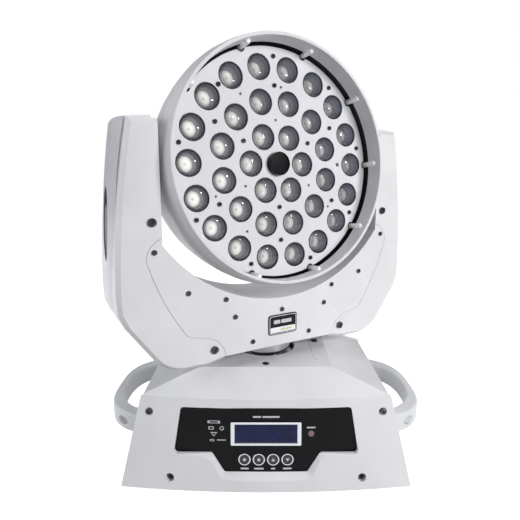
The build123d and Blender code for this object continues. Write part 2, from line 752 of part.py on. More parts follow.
def plate_half():
    """Right half of the yoke's front view below the arc, bounded by the seam."""
    arc_end = ARC_CENTRE_Z - sqrt(ARC_R ** 2 - ARM_INNER_X ** 2)
    arc_mid = polar(ARC_R, -60)
    with BuildSketch() as half:
        with BuildLine():
            add(seam_run())
            Line((74.8, 140.5), (0, YOKE_LOW))
            Line((0, YOKE_LOW), (0, ARC_CENTRE_Z - ARC_R))
            ThreePointArc((0, ARC_CENTRE_Z - ARC_R), (arc_mid[0], ARC_CENTRE_Z + arc_mid[1]), (ARM_INNER_X, arc_end))
            Line((ARM_INNER_X, arc_end), (ARM_INNER_X, 281.0))
        make_face()
        trace(seam_run(), line_width=2 * SEAM_GAP, mode=Mode.SUBTRACT)
    return half.sketch


def yoke_plate(side):
    """Screwed plate on the front (-1) or rear (1) of the yoke crossbar."""
    half = plate_half()
    start = Plane.XZ.offset(PLATE_Y if side < 0 else -PLATE_Y + PLATE_THICK)
    with BuildPart() as plate:
        with BuildSketch(start):
            add(half)
            mirror(half, about=Plane.YZ)
        extrude(amount=-PLATE_THICK)
        for x, z in SMALL_SCREWS:
            for sign in ((-1, 1) if x else (1,)):
                with Locations((sign * x, 0, z)):
                    Cylinder(1.35, 200.0, rotation=(90, 0, 0), mode=Mode.SUBTRACT)
    return plate


def yoke_saddle():
    """Concave cover over the crossbar, between the two plates."""
    depth = PLATE_Y - PLATE_THICK
    with BuildPart() as yoke_saddle:
        with BuildSketch(Plane.XZ.offset(depth)):
            with Locations((0, ARC_CENTRE_Z)):
                Circle(ARC_R + 2.5)
                Circle(ARC_R, mode=Mode.SUBTRACT)
            with Locations((0, ARC_CENTRE_Z + 300.0 - 101.0)):
                Rectangle(600.0, 600.0, mode=Mode.SUBTRACT)
            Rectangle(2 * ARM_INNER_X, 1000.0, mode=Mode.INTERSECT)
        extrude(amount=-2 * depth)
    return yoke_saddle


def arm_face(grow):
    """Front view of the right arm, with its inner side left open past the seam."""
    with BuildSketch() as face:
        with BuildLine():
            Line((100.0, ARM_TOP), (169.0, ARM_TOP))
            ThreePointArc((169.0, ARM_TOP), (183.0, 302.0), (187.8, 222.0))
            Line((187.8, 222.0), (187.0, 205.0))
            Line((187.0, 205.0), (181.0, 191.0))
            Line((181.0, 191.0), (152.0, 150.5))
            ThreePointArc((152.0, 150.5), (138.5, 139.8), (120.0, 136.0))
            Line((120.0, 136.0), (95.0, 136.0))
            Line((95.0, 136.0), (60.0, 143.0))
            Line((60.0, 143.0), (100.0, ARM_TOP))
        make_face()
        if grow:
            offset(amount=grow, kind=Kind.INTERSECTION)
    return face.sketch


def inner_side():
    """Everything on the head side of an arm: the gap, the plates and the crossbar."""
    with BuildSketch() as region:
        with BuildLine():
            add(seam_run())
            Polyline((74.8, 140.5), (74.8, 100.0), (0, 100.0), (0, 500.0), (ARM_INNER_X, 500.0), (ARM_INNER_X, 281.0))
        make_face()
    return region.sketch


def arm_prism(sketch, half_y):
    with BuildPart() as prism:
        extrude(Plane.XZ.offset(half_y).location * sketch, amount=-2 * half_y)
    return prism.part


def arm_shell(side):
    """Hollow arm of the yoke with a bevelled outer edge front and rear."""
    bevel = PLATE_Y - SHELL_DEPTH
    front = Plane.XZ.offset(SHELL_DEPTH).location * arm_face(SHELL_GROW)
    hollow = arm_prism(arm_face(-ARM_WALL), PLATE_Y - ARM_WALL)
    with BuildPart() as room:
        add(hollow)
        with Locations((ARM_INNER_X + ARM_WALL - 100.0, 0, 268.0)):
            Box(200.0, 200.0, 200.0, align=(Align.CENTER, Align.CENTER, Align.MIN), mode=Mode.SUBTRACT)
    with BuildPart() as shell:
        add(arm_prism(arm_face(SHELL_GROW), SHELL_DEPTH))
        slope = extrude(front, amount=bevel, taper=SHELL_BEVEL)
        mirror(slope, about=Plane.XZ)
        add(arm_prism(inner_side(), 100.0), mode=Mode.SUBTRACT)
        add(room.part, mode=Mode.SUBTRACT)
        add(cap_volume(), mode=Mode.SUBTRACT)
        with Locations((FRAME_KNEE_X - 30.0, 0, YOKE_LOW)):
            Box(60.0, FRAME_WIDTH + 1.0, 3.0, align=(Align.CENTER, Align.CENTER, Align.MIN), mode=Mode.SUBTRACT)
        with Locations((ARM_INNER_X + ARM_WALL / 2, 0, 276.0)):
            Box(ARM_WALL, 2 * (PLATE_Y - PLATE_THICK), 16.0)
        with Locations((ARM_INNER_X, 0, TILT_HEIGHT)):
            Cylinder(16.0, 30.0, rotation=(0, 90, 0), mode=Mode.SUBTRACT)
        for x, z in LARGE_SCREWS:
            with Locations((x, 0, z)):
                Cylinder(1.35, 200.0, rotation=(90, 0, 0), mode=Mode.SUBTRACT)
    return sided(shell, side)


def sided(builder, side):
    """Keep a right-hand piece, or mirror it for the left."""
    if side > 0:
        return builder
    with BuildPart() as left:
        mirror(builder.part, about=Plane.YZ)
    return left


def cap_section(drop):
    """Front view of the cap, its outer side and top drawn in by drop."""
    side = [(x - drop, z - 0.4 * drop) for x, z in CAP_SIDE]
    with BuildSketch() as section:
        with BuildLine():
            Line((147.0, CAP_TOP - 0.4 * drop), side[0])
            ThreePointArc(*side)
            Line(side[2], (183.0 - drop, 191.0))
            Line((183.0 - drop, 191.0), (147.0, 191.0))
            Line((147.0, 191.0), (147.0, CAP_TOP - 0.4 * drop))
        make_face()
        fillet(section.vertices().sort_by_distance((*side[0], 0)).first, CAP_CORNER_R)
    return section.sketch


def cap_volume():
    """The crowned volume that the cap takes out of the arm."""
    run = ((CAP_HALF_Y, CAP_CROWN), (0.0, 0.0), (-CAP_HALF_Y, CAP_CROWN))
    sections = [Plane.XZ.offset(depth).location * cap_section(drop) for depth, drop in run]
    with BuildPart() as volume:
        loft(sections)
    return volume.part


def arm_cap(side):
    """Crowned outer cover of an arm, seated in the shell, with a slot for its inlay."""
    with BuildPart() as cap:
        add(cap_volume())
        add(arm_prism(arm_face(CAP_SEAT), 100.0), mode=Mode.SUBTRACT)
        add(inlay_block(), mode=Mode.SUBTRACT)
    return sided(cap, side)


def inlay_block():
    """Long oval on the outside of the cap."""
    low, high = INLAY_SPAN
    with BuildPart() as block:
        with BuildSketch(Plane.YZ.offset(180.0)):
            with Locations((0, (low + high) / 2)):
                Ellipse(11.0, (high - low) / 2)
        extrude(amount=20.0)
    return block.part


def arm_inlays():
    """Black oval inlays set into both caps."""
    with BuildPart() as right:
        add(inlay_block())
        recessed = [(x - INLAY_RECESS, z) for x, z in CAP_SIDE]
        with BuildSketch(Plane.XZ.offset(60.0)):
            with BuildLine():
                ThreePointArc(*recessed)
                Polyline(recessed[2], (150.0, CAP_SIDE[2][1]), (150.0, CAP_TOP), recessed[0])
            make_face()
        extrude(amount=-120.0, mode=Mode.INTERSECT)
        add(arm_prism(arm_face(CAP_SEAT), 100.0), mode=Mode.SUBTRACT)
    with BuildPart() as arm_inlays:
        add(right.part)
        mirror(right.part, about=Plane.YZ)
    return arm_inlays


def yoke_screws():
    """Black screws on both faces of the yoke."""
    with BuildPart() as yoke_screws:
        for facing in (-1, 1):
            for group, head_r in ((SMALL_SCREWS, 2.8), (LARGE_SCREWS, 4.4)):
                for x, z in group:
                    for sign in ((-1, 1) if x else (1,)):
                        seat = Plane(origin=(sign * x, facing * PLATE_Y, z), x_dir=(1, 0, 0), z_dir=(0, facing, 0))
                        add(screw(seat, head_r, 0.5 * head_r, 1.2, 2.0))
    return yoke_screws


def badge_plate():
    """Small rounded badge on the front plate."""
    with BuildPart() as badge_plate:
        with BuildSketch(Plane.XZ.offset(PLATE_Y)):
            with Locations((1.0, BADGE_Z)):
                RectangleRounded(*BADGE, 3.6)
        extrude(amount=1.2)
        chamfer(badge_plate.faces().sort_by(Axis.Y).first.edges(), 0.4)
    return badge_plate


def tilt_plane(x, z):
    """Plane across the arm, its Z towards the outside of the right arm and its X downwards."""
    return Plane(origin=(x, 0, z), x_dir=(0, 0, -1), z_dir=(1, 0, 0))


def tilt_motor():
    return stepper_motor(tilt_plane(156.0, TILT_MOTOR_Z), 38.0)


def tilt_motor_pulley():
    return motor_pulley(tilt_plane(156.0, TILT_MOTOR_Z), 20.0)


def tilt_belt():
    return drive_belt(tilt_plane(160.5, TILT_HEIGHT), TILT_HEIGHT - TILT_MOTOR_Z, TILT_PULLEY_R)


def tilt_bearings():
    """Bearing rings in both uprights."""
    with BuildPart() as tilt_bearings:
        for side in (-1, 1):
            with BuildSketch(Plane.YZ.offset(side * 147.0)):
                with Locations((0, TILT_HEIGHT)):
                    Circle(20.0)
                    Circle(TILT_SHAFT_R + RUNNING_GAP, mode=Mode.SUBTRACT)
            extrude(amount=side * 10.0)
    return tilt_bearings


# ---------------------------------------------------------------- head pieces


def turned(points):
    """A body of revolution about the lens axis from (radius, height) points."""
    with BuildPart() as body:
        with BuildSketch(Plane.XZ):
            with BuildLine():
                Polyline(*points, close=True)
            make_face()
        revolve(axis=Axis.Z)
    return body


def wall_profile(outer, wall):
    """Closed profile of a shell: the outer run and the same run moved inwards."""
    inner = [(r - wall, h) for r, h in reversed(outer)]
    return list(outer) + inner


def head_bezel():
    """Front rim ring with ten rounded guide ribs on its inner wall."""
    outer = list(BEZEL_PROFILE)
    ring = turned(outer + [(132.5, BEZEL_BACK)])
    low, high = RIB_SPAN
    with BuildPart() as ribs:
        with BuildSketch(Plane.XY.offset(low)):
            with PolarLocations(RIB_CENTRE_R, 10):
                Circle(RIB_R)
        extrude(amount=high - low)
        fillet(ribs.edges().group_by(Axis.Z)[-1], 1.5)
        with BuildSketch(Plane.XY.offset(low)):
            Circle(160.0)
            Circle(132.6, mode=Mode.SUBTRACT)
        extrude(amount=40.0, mode=Mode.SUBTRACT)
    with BuildPart() as head_bezel:
        add(ring.part)
        add(ribs.part)
        fillet(head_bezel.edges().filter_by(GeomType.CIRCLE).group_by(Axis.Z)[-1], 0.8)
    return head_bezel


def head_housing():
    """Main shell of the head, with a round opening for each tilt shaft."""
    shell = turned(wall_profile(HOUSING_PROFILE, HOUSING_WALL))
    with BuildPart() as head_housing:
        add(shell.part)
        with BuildSketch(Plane.YZ.offset(-134.0)):
            Circle(18.0)
        extrude(amount=-6.5)
        with BuildSketch(Plane.YZ.offset(134.0)):
            Circle(18.0)
        extrude(amount=6.5)
        Cylinder(TILT_SHAFT_R + RUNNING_GAP, 400.0, rotation=(0, 90, 0), mode=Mode.SUBTRACT)
    return head_housing


def head_rear_cover():
    """Domed rear cover with rings of cooling slots in front of the fan and louvres round the side."""
    back = REAR_PROFILE[-1][1]
    wall = HOUSING_WALL
    profile = list(REAR_PROFILE) + [(0, back), (0, back + wall)] + \
        [(r - wall, h + (wall if r < 100.0 else 0.5 * wall if r < 112.0 else 0)) for r, h in reversed(REAR_PROFILE)]
    shell = turned(profile)
    with BuildPart() as head_rear_cover:
        add(shell.part)
        for radius, count in ((24.0, 6), (34.0, 8), (44.0, 10), (54.0, 12)):
            with BuildSketch(Plane.XY.offset(back - 5.0)):
                for index in range(count):
                    middle = CenterArc((0, 0), radius, 360.0 / count * index, 280.0 / count, mode=Mode.PRIVATE)
                    SlotArc(arc=middle, height=5.0)
            extrude(amount=wall + 10.0, mode=Mode.SUBTRACT)
    return head_rear_cover


def tilt_shafts():
    """Hollow trunnions with a flange inside the head."""
    with BuildPart() as tilt_shafts:
        for side in (-1, 1):
            with BuildSketch(Plane.YZ.offset(side * 123.0)):
                Circle(TILT_SHAFT_R)
                Circle(7.0, mode=Mode.SUBTRACT)
            extrude(amount=side * 49.0)
            with BuildSketch(Plane.YZ.offset(side * 123.0)):
                Circle(19.0)
                Circle(7.0, mode=Mode.SUBTRACT)
            extrude(amount=side * 4.5)
    return tilt_shafts


def tilt_pulley():
    """Driven pulley on the right trunnion."""
    with BuildPart() as tilt_pulley:
        with BuildSketch(Plane.YZ.offset(159.5)):
            Circle(TILT_PULLEY_R)
            Circle(TILT_SHAFT_R + RUNNING_GAP, mode=Mode.SUBTRACT)
        extrude(amount=11.0)
        with Locations(Plane.YZ):
            with PolarLocations(21.0, 6):
                Cylinder(4.0, 400.0, mode=Mode.SUBTRACT)
    return tilt_pulley


def lens_places():
    """Centre of every lens: three rings, each with two lenses straddling the top."""
    return [polar(radius, 90 + 180 / count - index * 360 / count)
            for radius, count in LENS_RINGS for index in range(count)]


def led_board():
    """Round circuit board with one emitter under each lens."""
    with BuildPart() as led_board:
        with BuildSketch(Plane.XY.offset(BOARD_FRONT - 2.0)):
            Circle(BOARD_R)
            with Locations(polar(*ZOOM_SCREW_AT)):
                Circle(4.0, mode=Mode.SUBTRACT)
        extrude(amount=2.0)
        with BuildSketch(Plane.XY.offset(BOARD_FRONT)):
            with Locations(*lens_places()):
                Circle(3.5)
        extrude(amount=1.4)
    return led_board


def heat_sink():
    """Aluminium plate with parallel fins behind the circuit board."""
    top = BOARD_FRONT - 2.0
    with BuildPart() as heat_sink:
        with BuildSketch(Plane.XY.offset(top)):
            Circle(SINK_R)
        extrude(amount=-6.0)
        with BuildSketch(Plane.XY.offset(top - 6.0)):
            Circle(SINK_R - 2.0)
            with GridLocations(12.0, 1.0, 19, 1):
                Rectangle(9.8, 300.0, mode=Mode.SUBTRACT)
        extrude(amount=-46.0)
        with Locations((*polar(*ZOOM_SCREW_AT), top)):
            Box(27.0, 27.0, 300.0, mode=Mode.SUBTRACT)
    return heat_sink


def fan_frame():
    """Round cooling fan housing with a hub carried on three spokes."""
    with BuildPart() as fan_frame:
        with BuildSketch(Plane.XY.offset(-92.8)):
            Circle(FAN_R + 3.0)
            Circle(FAN_R, mode=Mode.SUBTRACT)
        extrude(amount=24.0)
        with BuildSketch(Plane.XY.offset(-71.3)):
            Circle(12.0)
            with PolarLocations(FAN_R / 2 + 2.0, 3):
                Rectangle(FAN_R, 5.0)
        extrude(amount=2.5)
        with BuildSketch(Plane.XY.offset(-88.0)):
            Circle(MOTOR_SHAFT_R)
        extrude(amount=18.0)
    return fan_frame


def fan_rotor():
    """Fan hub with pitched blades, turning on the frame's pin."""
    with BuildPart() as fan_rotor:
        with BuildSketch(Plane.XY.offset(-89.0)):
            Circle(17.0)
        extrude(amount=16.0)
        for index in range(7):
            turn = Location((0, 0, 0), (0, 0, index * 360 / 7))
            with Locations(turn * Location((35.0, 0, -81.0), (35, 0, 0))):
                Box(40.0, 15.0, 1.6)
        with BuildSketch(Plane.XY.offset(-90.0)):
            Circle(MOTOR_SHAFT_R + RUNNING_GAP)
        extrude(amount=20.0, mode=Mode.SUBTRACT)
    return fan_rotor


def zoom_motor():
    """Small motor behind the board that turns the zoom screw."""
    with BuildPart() as zoom_motor:
        with BuildSketch(Plane.XY.offset(BOARD_FRONT - 3.0)) as face:
            with Locations(polar(*ZOOM_SCREW_AT)):
                Rectangle(25.0, 25.0)
            chamfer(face.vertices(), 3.0)
        extrude(amount=-26.0)
        with Locations((*polar(*ZOOM_SCREW_AT), BOARD_FRONT - 3.0)):
            Cylinder(ZOOM_SCREW_R + RUNNING_GAP, 40.0, mode=Mode.SUBTRACT)
    return zoom_motor


def zoom_screw():
    """Lead screw that drives the lens plate."""
    with BuildPart() as zoom_screw:
        with Locations((*polar(*ZOOM_SCREW_AT), BOARD_FRONT - 20.0)):
            Cylinder(ZOOM_SCREW_R, 52.2, align=(Align.CENTER, Align.CENTER, Align.MIN))
    return zoom_screw


# ---------------------------------------------------------------- lens carrier


def lens_plate():
    """Round plate with lens seats, ten edge notches and its screw and screw-spindle holes."""
    with BuildPart() as lens_plate:
        with BuildSketch(Plane.XY.offset(PLATE_FRONT)):
            Circle(LENS_PLATE_R)
            with PolarLocations(LENS_PLATE_R + 0.6, 10):
                Circle(NOTCH_R, mode=Mode.SUBTRACT)
            with Locations(*lens_places()):
                Circle(LENS_R, mode=Mode.SUBTRACT)
            Circle(TUBE_R + 0.1, mode=Mode.SUBTRACT)
            with Locations(*[polar(*place) for place in PLATE_HOLES]):
                Circle(1.5, mode=Mode.SUBTRACT)
            with Locations(*[polar(*place) for place in PLATE_SCREWS]):
                Circle(1.3, mode=Mode.SUBTRACT)
            with Locations(polar(*ZOOM_SCREW_AT)):
                Circle(ZOOM_SCREW_R + RUNNING_GAP, mode=Mode.SUBTRACT)
        extrude(amount=-2.5)
        with BuildSketch(Plane.XY.offset(PLATE_FRONT - 2.5)):
            with Locations(polar(*ZOOM_SCREW_AT)):
                Circle(5.0)
                Circle(ZOOM_SCREW_R + RUNNING_GAP, mode=Mode.SUBTRACT)
        extrude(amount=-17.0)
    return lens_plate


def lenses():
    """Collimator lenses: a flat rim, a shallow dome in front and a cone behind."""
    with BuildPart() as one:
        with BuildSketch(Plane.XZ):
            with BuildLine():
                Line((0, PLATE_FRONT - 19.0), (4.5, PLATE_FRONT - 19.0))
                Line((4.5, PLATE_FRONT - 19.0), (LENS_R - 0.1, PLATE_FRONT - 3.0))
                Line((LENS_R - 0.1, PLATE_FRONT - 3.0), (LENS_R - 0.1, PLATE_FRONT - 0.8))
                TangentArc((0, PLATE_FRONT + 0.9), (LENS_R - 0.1, PLATE_FRONT - 0.8), tangent=(1, 0))
                Line((0, PLATE_FRONT + 0.9), (0, PLATE_FRONT - 19.0))
            make_face()
        revolve(axis=Axis.Z)
    with BuildPart() as lenses:
        with Locations(*lens_places()):
            add(one.part)
    return lenses


def lens_plate_screws():
    """Black screws spread over the lens plate."""
    with BuildPart() as lens_plate_screws:
        for place in PLATE_SCREWS:
            seat = Plane(origin=(*polar(*place), PLATE_FRONT), x_dir=(1, 0, 0), z_dir=(0, 0, 1))
            add(screw(seat, 2.5, 1.5, 1.2, 2.5))
    return lens_plate_screws


def centre_tube():
    """Black tube in the middle of the lens plate, with a recessed face."""
    with BuildPart() as centre_tube:
        with BuildSketch(Plane.XY.offset(PLATE_FRONT - 8.0)):
            Circle(TUBE_R)
        extrude(amount=14.0)
        with BuildSketch(Plane.XY.offset(PLATE_FRONT + 6.0)):
            Circle(TUBE_R - 1.6)
        extrude(amount=-1.2, mode=Mode.SUBTRACT)
        fillet(centre_tube.edges().group_by(Axis.Z)[-1], 0.5)
    return centre_tube


# ---------------------------------------------------------------- writing


def write_piece(builder, name, place):
    """Label a finished piece, put it in its place and write its STEP file."""
    builder.part.label = name
    placed = builder.part.moved(place)
    placed.label = name
    export_step(placed, f"parts/{name}.step")


BASE_PIECES = {
    "base_chassis": base_chassis,
    "base_front_cover": base_front_cover,
    "base_rear_cover": base_rear_cover,
    "base_left_cover": lambda: side_cover(-1),
    "base_right_cover": lambda: side_cover(1),
    "control_panel": control_panel,
    "lcd_bezel": lcd_bezel,
    "lcd_screen": lcd_screen,
    "button_rings": button_rings,
    "menu_button": lambda: panel_button(0),
    "enter_button": lambda: panel_button(1),
    "up_button": lambda: panel_button(2),
    "down_button": lambda: panel_button(3),
    "sensor_window": sensor_window,
    "base_screws": base_screws,
    "left_handle": lambda: carry_handle(-1),
    "right_handle": lambda: carry_handle(1),
    "handle_screws": handle_screws,
    "rubber_feet": rubber_feet,
    "pan_pedestal": pan_pedestal,
    "pan_bearing": pan_bearing,
    "pan_motor": pan_motor,
    "pan_motor_pulley": pan_motor_pulley,
    "pan_belt": pan_belt,
    "power_supply": power_supply,
    "rear_sockets": rear_sockets,
    "power_switch": switch_rocker,
}
YOKE_PIECES = {
    "pan_shaft": pan_shaft,
    "pan_pulley": pan_pulley,
    "yoke_frame": yoke_frame,
    "yoke_front_plate": lambda: yoke_plate(-1),
    "yoke_rear_plate": lambda: yoke_plate(1),
    "yoke_saddle": yoke_saddle,
    "left_arm_shell": lambda: arm_shell(-1),
    "right_arm_shell": lambda: arm_shell(1),
    "left_arm_cap": lambda: arm_cap(-1),
    "right_arm_cap": lambda: arm_cap(1),
    "arm_inlays": arm_inlays,
    "yoke_screws": yoke_screws,
    "badge_plate": badge_plate,
    "tilt_motor": tilt_motor,
    "tilt_motor_pulley": tilt_motor_pulley,
    "tilt_belt": tilt_belt,
    "tilt_bearings": tilt_bearings,
}
HEAD_PIECES = {
    "head_bezel": head_bezel,
    "head_housing": head_housing,
    "head_rear_cover": head_rear_cover,
    "tilt_shafts": tilt_shafts,
    "tilt_pulley": tilt_pulley,
    "led_board": led_board,
    "heat_sink": heat_sink,
    "fan_frame": fan_frame,
    "fan_rotor": fan_rotor,
    "zoom_motor": zoom_motor,
    "zoom_screw": zoom_screw,
    "lens_plate": lens_plate,
    "lenses": lenses,
    "lens_plate_screws": lens_plate_screws,
    "centre_tube": centre_tube,
}

os.makedirs("parts", exist_ok=True)
for pieces, place in ((BASE_PIECES, BASE_PLACE), (YOKE_PIECES, YOKE_PLACE), (HEAD_PIECES, HEAD_PLACE)):
    for name, make in pieces.items():
        write_piece(make(), name, place)
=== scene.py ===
import json
import math

import bmesh
import bpy
from mathutils import Matrix, Vector
from mathutils.bvhtree import BVHTree


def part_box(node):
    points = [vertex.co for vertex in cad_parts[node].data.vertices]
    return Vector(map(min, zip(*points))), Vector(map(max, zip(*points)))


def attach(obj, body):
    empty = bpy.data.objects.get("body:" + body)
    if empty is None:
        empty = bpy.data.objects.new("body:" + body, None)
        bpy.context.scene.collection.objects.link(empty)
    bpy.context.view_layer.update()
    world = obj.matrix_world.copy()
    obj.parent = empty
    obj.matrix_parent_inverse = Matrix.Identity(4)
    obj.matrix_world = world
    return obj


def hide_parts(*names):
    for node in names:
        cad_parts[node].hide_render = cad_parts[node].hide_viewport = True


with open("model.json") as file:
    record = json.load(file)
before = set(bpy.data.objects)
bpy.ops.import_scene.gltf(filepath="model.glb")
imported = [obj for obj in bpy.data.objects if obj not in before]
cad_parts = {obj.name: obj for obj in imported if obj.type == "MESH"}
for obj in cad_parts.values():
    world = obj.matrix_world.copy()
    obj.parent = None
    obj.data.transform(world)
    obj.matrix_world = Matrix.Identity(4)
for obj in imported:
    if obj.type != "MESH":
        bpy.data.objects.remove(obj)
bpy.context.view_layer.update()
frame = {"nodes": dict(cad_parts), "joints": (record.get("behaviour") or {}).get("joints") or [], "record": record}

MM = 0.001
nodes = frame["nodes"]
joints = {joint["name"]: joint for joint in frame["joints"]}

# ---------------------------------------------------------------- frames of the yoke and the head

TILT_AXIS = Vector(joints["tilt"]["axis"]).normalized()
LENS_AXIS = Vector(joints["zoom"]["axis"]).normalized()
UP = Vector((0.0, 0.0, 1.0))
FOOT_LIFT = 2.0 * MM


def placed(origin, x_axis, z_axis):
    """Matrix of a frame with its origin and two of its axes in the row frame."""
    y_axis = z_axis.cross(x_axis)
    turn = Matrix((x_axis, y_axis, z_axis)).transposed().to_4x4()
    return Matrix.Translation(origin) @ turn


YOKE = placed(Vector((0.0, 0.0, FOOT_LIFT)), TILT_AXIS, UP)
HEAD = placed(Vector(joints["tilt"]["pos_m"]), TILT_AXIS, LENS_AXIS)

# ---------------------------------------------------------------- camera

CAMERA_AT = (-0.00669, -0.55511, 0.34735)
CAMERA_PITCH = 79.104
CAMERA_LENS = 31.095
CAMERA_SENSOR = 36.0
CAMERA_NEAR = 0.01


def make_camera():
    data = bpy.data.cameras.new("camera")
    data.lens = CAMERA_LENS
    data.sensor_width = CAMERA_SENSOR
    data.clip_start = CAMERA_NEAR
    camera = bpy.data.objects.new("camera", data)
    camera.location = CAMERA_AT
    camera.rotation_euler = (math.radians(CAMERA_PITCH), 0.0, 0.0)
    bpy.context.scene.collection.objects.link(camera)
    bpy.context.scene.camera = camera


# ---------------------------------------------------------------- light

LIT_POINT = (0.0, 0.0, 0.25)
GLINT_DISTANCE = 1.1
GLINT_SHIFT = Vector((-0.06, 0.0, 0.10))
SURROUND_TINT = (0.93, 0.95, 1.0, 1.0)
SURROUND_STRENGTH = 0.15


def soft_box(name, at, target, size, power, tint=(1.0, 1.0, 1.0)):
    """A rectangular lamp turned towards its target."""
    data = bpy.data.lights.new(name, "AREA")
    data.shape = "RECTANGLE"
    data.size, data.size_y = size
    data.energy = power
    data.color = tint
    lamp = bpy.data.objects.new(name, data)
    lamp.location = at
    lamp.rotation_euler = (Vector(target) - Vector(at)).to_track_quat("-Z", "Y").to_euler()
    bpy.context.scene.collection.objects.link(lamp)
    return lamp


def glint_point():
    """Where a lamp must stand for flat glass on the head to reflect it into the camera."""
    sight = (Vector(CAMERA_AT) - HEAD.translation).normalized()
    facing = HEAD.to_3x3().col[2].normalized()
    return HEAD.translation + (2.0 * sight.dot(facing) * facing - sight) * GLINT_DISTANCE


def make_lamps():
    """The key shows in no reflection; the spark is the lamp that glints in the lenses."""
    key = soft_box("key", at=(0.9, -0.8, 0.6), target=(0.0, 0.0, 0.22), size=(0.6, 0.6), power=11.5)
    key.visible_glossy = False
    soft_box("fill", at=(-1.7, -0.5, 0.7), target=LIT_POINT, size=(1.4, 1.4), power=17.0,
             tint=(0.95, 0.965, 1.0))
    soft_box("front", at=(-0.9, -1.7, 0.55), target=LIT_POINT, size=(1.2, 1.2), power=1.0)
    soft_box("top", at=(-0.2, 0.0, 1.9), target=(0.0, 0.0, 0.2), size=(1.4, 1.4), power=5.6)
    soft_box("back", at=(0.3, 1.9, 1.0), target=LIT_POINT, size=(1.4, 1.2), power=5.0)
    soft_box("spark", at=glint_point() + GLINT_SHIFT, target=HEAD.translation, size=(0.07, 0.07), power=0.9)


def make_world():
    """Soft surrounding light, seen as plain white."""
    world = bpy.data.worlds.new("studio")
    bpy.context.scene.world = world
    world.use_nodes = True
    tree = world.node_tree
    tree.nodes.clear()
    seen = tree.nodes.new("ShaderNodeBackground")
    seen.inputs["Color"].default_value = (1.0, 1.0, 1.0, 1.0)
    lit = tree.nodes.new("ShaderNodeBackground")
    lit.inputs["Color"].default_value = SURROUND_TINT
    lit.inputs["Strength"].default_value = SURROUND_STRENGTH
    path = tree.nodes.new("ShaderNodeLightPath")
    mix = tree.nodes.new("ShaderNodeMixShader")
    out = tree.nodes.new("ShaderNodeOutputWorld")
    tree.links.new(path.outputs["Is Camera Ray"], mix.inputs["Fac"])
    tree.links.new(lit.outputs[0], mix.inputs[1])
    tree.links.new(seen.outputs[0], mix.inputs[2])
    tree.links.new(mix.outputs[0], out.inputs["Surface"])


# ---------------------------------------------------------------- floor

FLOOR_HALF = 6.0
FLOOR_PAPER = dict(colour=(0.93, 0.93, 0.94), rough=0.9, grain=(40.0, 0.02), blotch=(3.0, 0.01), spec=0.1,
                   glow=0.95)


def make_floor():
    """Glowing white paper that throws no diffuse light up onto the object."""
    mesh = bpy.data.meshes.new("floor")
    corners = [(FLOOR_HALF * x, FLOOR_HALF * y, 0.0) for x, y in ((-1, -1), (1, -1), (1, 1), (-1, 1))]
    mesh.from_pydata(corners, [], [(0, 1, 2, 3)])
    floor = bpy.data.objects.new("floor", mesh)
    bpy.context.scene.collection.objects.link(floor)
    floor.data.materials.append(finish("floor_paper", **FLOOR_PAPER))
    floor.visible_diffuse = False


# ---------------------------------------------------------------- materials

NOISE_LOW = 0.3
NOISE_HIGH = 0.7
FINE_DETAIL = 4.0
FINE_ROUGHNESS = 0.6
BROAD_DETAIL = 5.0
BROAD_ROUGHNESS = 0.55
EDGE_LIGHTENING_STARTS = 0.53
EDGE_LIGHTENING_FULL = 0.62
COAT_ROUGHNESS = 0.06
BUMP_DISTANCE = 0.0002


def noise(tree, vector, scale, detail, roughness):
    made = tree.nodes.new("ShaderNodeTexNoise")
    made.inputs["Scale"].default_value = scale
    made.inputs["Detail"].default_value = detail
    made.inputs["Roughness"].default_value = roughness
    tree.links.new(vector, made.inputs["Vector"])
    return made


def ramp(tree, source, low, high):
    """Map the middle of a noise to the range low..high."""
    made = tree.nodes.new("ShaderNodeMapRange")
    made.inputs["From Min"].default_value = NOISE_LOW
    made.inputs["From Max"].default_value = NOISE_HIGH
    made.inputs["To Min"].default_value = low
    made.inputs["To Max"].default_value = high
    tree.links.new(source, made.inputs["Value"])
    return made.outputs["Result"]


def blend_colour(tree, factor, first, second):
    """Mix two colours, each a tuple or a socket."""
    made = tree.nodes.new("ShaderNodeMix")
    made.data_type = "RGBA"
    tree.links.new(factor, made.inputs["Factor"])
    for socket, value in ((made.inputs["A"], first), (made.inputs["B"], second)):
        if isinstance(value, tuple):
            socket.default_value = (*value, 1.0)
        else:
            tree.links.new(value, socket)
    return made.outputs["Result"]


def wear_and_highlight_edges(tree, shade, amount, colour):
    """Let a lighter colour through on convex edges: wear on the dark finishes, a painted highlight on the white
    ones.
    """
    geometry = tree.nodes.new("ShaderNodeNewGeometry")
    edge = tree.nodes.new("ShaderNodeMapRange")
    edge.inputs["From Min"].default_value = EDGE_LIGHTENING_STARTS
    edge.inputs["From Max"].default_value = EDGE_LIGHTENING_FULL
    edge.inputs["To Max"].default_value = amount
    tree.links.new(geometry.outputs["Pointiness"], edge.inputs["Value"])
    return blend_colour(tree, edge.outputs["Result"], shade, colour)


